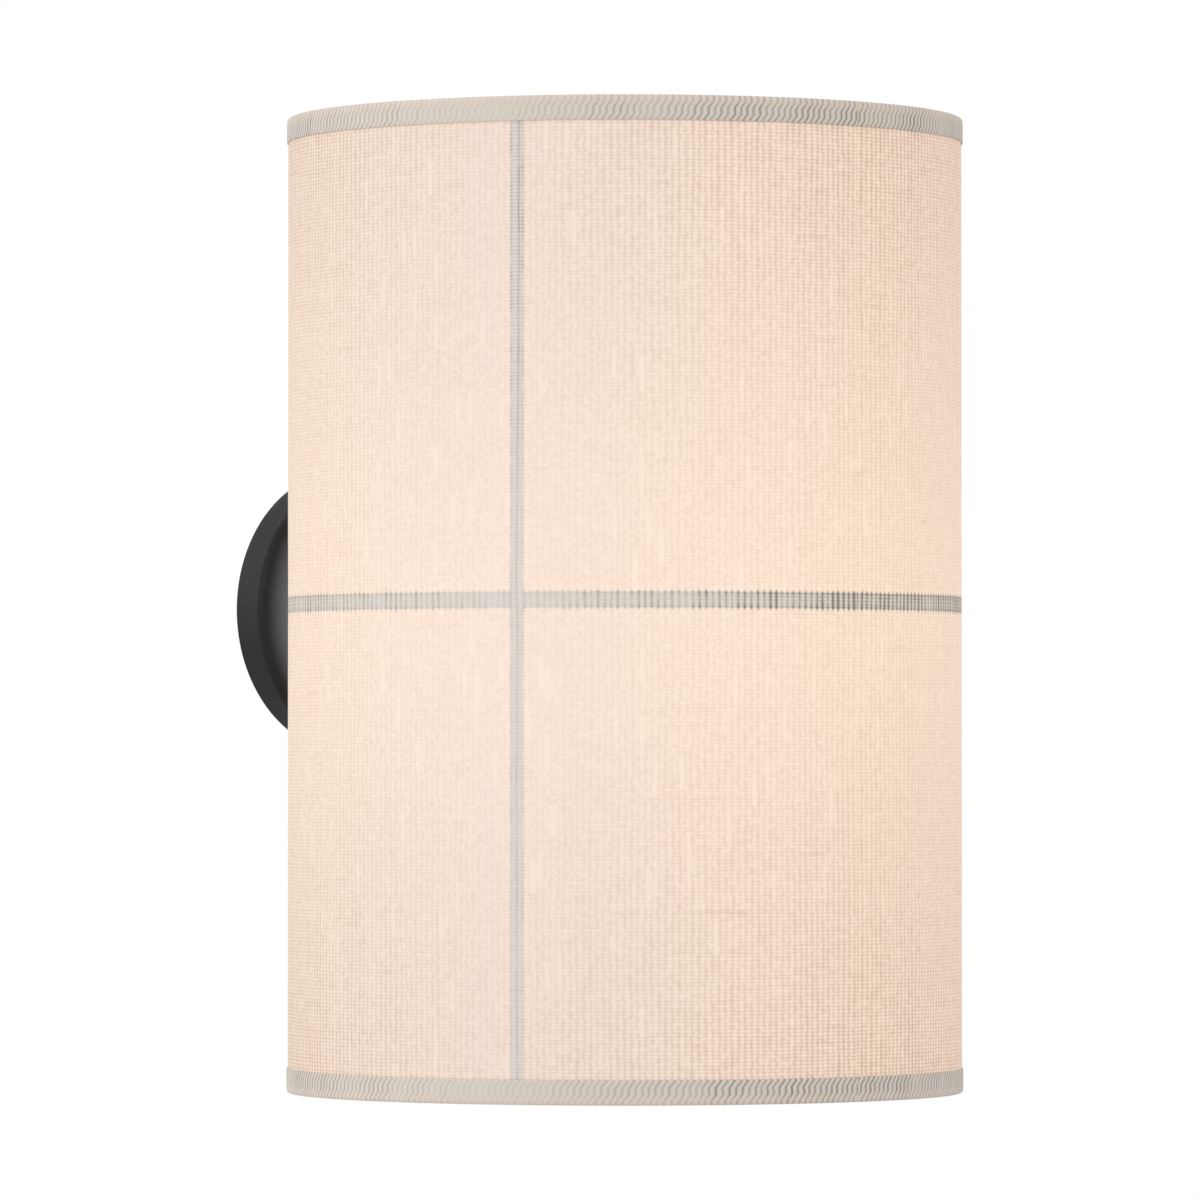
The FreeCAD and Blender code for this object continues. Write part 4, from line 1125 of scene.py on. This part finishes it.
@dataclass
class Bulb:
    """The globe bulb, with the thread rolled into its cap."""

    contact: str = "bulb_contact"
    insulator: str = "bulb_insulator"
    globe: str = "bulb_globe"
    foot: float = -50.8 * MM
    height: float = 17.5 * MM
    thread_radius: float = 6.95 * MM
    groove: float = 0.42 * MM
    pitch: float = 2.822 * MM
    lip: float = 7.6 * MM
    wall: float = 0.65 * MM
    rim: float = 2.6 * MM
    flare: float = 1.3 * MM
    fade: float = 1.2 * MM
    foot_round: float = 0.5 * MM
    foot_in: float = 0.25 * MM
    steps_around: int = 160
    steps_up: int = 96

    def build(self, wardrobe: Wardrobe) -> List[bpy.types.Object]:
        """Make the threaded cap and dress the rest of the bulb.

        Args:
            wardrobe: hands out the materials.

        Returns:
            The cap.
        """
        wardrobe.dress(Slot.SOLDER, self.contact)
        wardrobe.dress(Slot.BEAD, self.insulator)
        wardrobe.dress(Slot.OPAL, self.globe)
        cap = self._cap(wardrobe)
        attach(cap, "bulb")
        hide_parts("bulb_cap")
        return [reported(cap)]

    def _cap(self, wardrobe: Wardrobe) -> bpy.types.Object:
        """The metal cap with its rolled thread.

        Outside, the radius is the thread's crest less half a groove times one less the cosine
        of an angle: the turn less a full turn for each pitch of rise. The thread dies out near
        both ends, and the cap widens to its lip above it. Inside, the wall is plain.

        Args:
            wardrobe: hands out the materials.

        Returns:
            The cap.
        """
        turn = np.linspace(0, 2 * np.pi, self.steps_around, endpoint=False)
        rise = np.linspace(0, self.height, self.steps_up)
        a, z = np.meshgrid(turn, rise, indexing="ij")
        top = self.height - self.rim
        live = np.clip(z / self.fade, 0, 1) * np.clip((top - z) / self.fade, 0, 1)
        dip = 0.5 * self.groove * (1 - np.cos(a - 2 * np.pi * z / self.pitch))
        flare = np.clip((z - top) / self.flare, 0, 1)
        flare = flare * flare * (3 - 2 * flare)
        shrink = self.foot_in * (1 - np.clip(z / self.foot_round, 0, 1))
        outer = self.thread_radius - dip * live - shrink
        outer = outer + (self.lip - self.thread_radius) * flare
        inside = np.full((self.steps_around, 2), self.thread_radius - self.wall)
        radius = np.concatenate([outer, inside], 1)
        height = np.concatenate([z, np.full((self.steps_around, 1), self.height),
                                 np.zeros((self.steps_around, 1))], 1) + self.foot
        angle = np.concatenate([a, a[:, :2]], 1)
        points = np.stack([radius * np.sin(angle), AXIS_Y - radius * np.cos(angle), height], -1)
        weave = np.zeros((self.steps_around + 1, self.steps_up + 3, 2))
        return grid_piece("bulb_cap_thread", points, weave, (True, True),
                          [wardrobe.of(Slot.NICKEL)])


# ------------------------------------------------------------------------------ studio


@dataclass
class Lamp:
    """A soft square light that looks at the shade."""

    name: str
    azimuth: float
    elevation: float
    distance: float
    size: float
    watts: float
    colour: Colour = (1.0, 1.0, 1.0)

    def build(self) -> None:
        """Hang the light. Azimuth 0 stands in front of the wall and 90 on its right."""
        data = bpy.data.lights.new(self.name, "AREA")
        data.shape, data.size = "SQUARE", self.size
        data.energy, data.color = self.watts, self.colour
        lamp = bpy.data.objects.new(self.name, data)
        bpy.context.scene.collection.objects.link(lamp)
        a, e = math.radians(self.azimuth), math.radians(self.elevation)
        away = Vector((math.sin(a) * math.cos(e), -math.cos(a) * math.cos(e), math.sin(e)))
        lamp.location = Vector((0, AXIS_Y, 0)) + self.distance * away
        lamp.rotation_euler = (-away).to_track_quat("-Z", "Y").to_euler()


@dataclass
class Studio:
    """The camera of the photograph, soft lights, a pale floor and a white surround."""

    camera_at: Tuple[float, float, float] = (-1.5971, -1.8963, -0.04327)
    bearing: float = 41.8325
    pitch: float = 1.0772
    lens: float = 253.71
    sensor: float = 36.0
    clip_end: float = 60.0
    floor_z: float = -3.0
    floor_half: float = 5.5
    surround: Colour = (0.70, 0.70, 0.70)
    floor_dark: Colour = (0.86, 0.86, 0.85)
    floor_pale: Colour = (0.89, 0.89, 0.88)
    lamps: Tuple[Lamp, ...] = (
        Lamp("key_light", -66.0, 14.0, 2.6, 1.8, 17.0),
        Lamp("back_light", -150.0, 15.0, 2.6, 1.8, 13.0),
        Lamp("fill_light", 34.0, 10.0, 2.8, 2.0, 16.0, (1.0, 0.98, 0.95)),
        Lamp("top_light", -30.0, 74.0, 2.6, 1.6, 6.0))

    def build(self) -> None:
        """Set up the whole studio."""
        self._camera()
        for lamp in self.lamps:
            lamp.build()
        self._world()
        self._floor()
        bpy.context.scene.view_settings.view_transform = "Standard"

    def _camera(self) -> None:
        """Stand the camera where the photograph was taken."""
        data = bpy.data.cameras.new("camera")
        data.lens, data.sensor_width, data.clip_end = self.lens, self.sensor, self.clip_end
        camera = bpy.data.objects.new("camera", data)
        bpy.context.scene.collection.objects.link(camera)
        a, p = math.radians(self.bearing), math.radians(self.pitch)
        ahead = Vector((math.sin(a) * math.cos(p), math.cos(a) * math.cos(p), math.sin(p)))
        camera.location = self.camera_at
        camera.rotation_euler = ahead.to_track_quat("-Z", "Y").to_euler()
        bpy.context.scene.camera = camera

    def _world(self) -> None:
        """Light from all sides, seen as white by the camera, in gloss and through glass."""
        s = Shader("surround", "worlds")
        camera, gloss, glass = (s.node("ShaderNodeLightPath", output=f"Is {ray} Ray")
                                for ray in ("Camera", "Glossy", "Transmission"))
        seen = s.mix(camera.most(gloss).most(glass), self.surround, (1.0, 1.0, 1.0))
        s.node("ShaderNodeOutputWorld",
               inputs={"Surface": s.node("ShaderNodeBackground", inputs={"Color": seen})})
        bpy.context.scene.world = s.owner

    def _floor(self) -> None:
        """A pale floor well below the lamp: a flat square of one grid cell."""
        ends = np.array([-self.floor_half, self.floor_half])
        x, y = np.meshgrid(ends, ends + AXIS_Y, indexing="ij")
        points = np.stack([x, y, np.full_like(x, self.floor_z)], -1)
        s = Shader("pale_floor")
        grain = s.noise(s.place(), 60.0, 3.0)
        material = s.finish(Base_Color=s.mix(grain, self.floor_dark, self.floor_pale),
                            Roughness=0.8)
        grid_piece("floor", points, np.zeros((2, 2, 2)), (False, False), [material])


def main() -> None:
    """Build the studio and every sub-assembly, and note the sizes."""
    logging.basicConfig(level=logging.INFO, format="%(name)s: %(message)s")
    Studio().build()
    wardrobe = Wardrobe()
    for assembly in (WallMount(), Arm(), ShadeFrame(), ShadeCloth(), LampHolder(), Bulb()):
        LOG.info("sub-assembly %s", type(assembly).__name__)
        assembly.build(wardrobe)


if __name__ == "__main__":
    main()
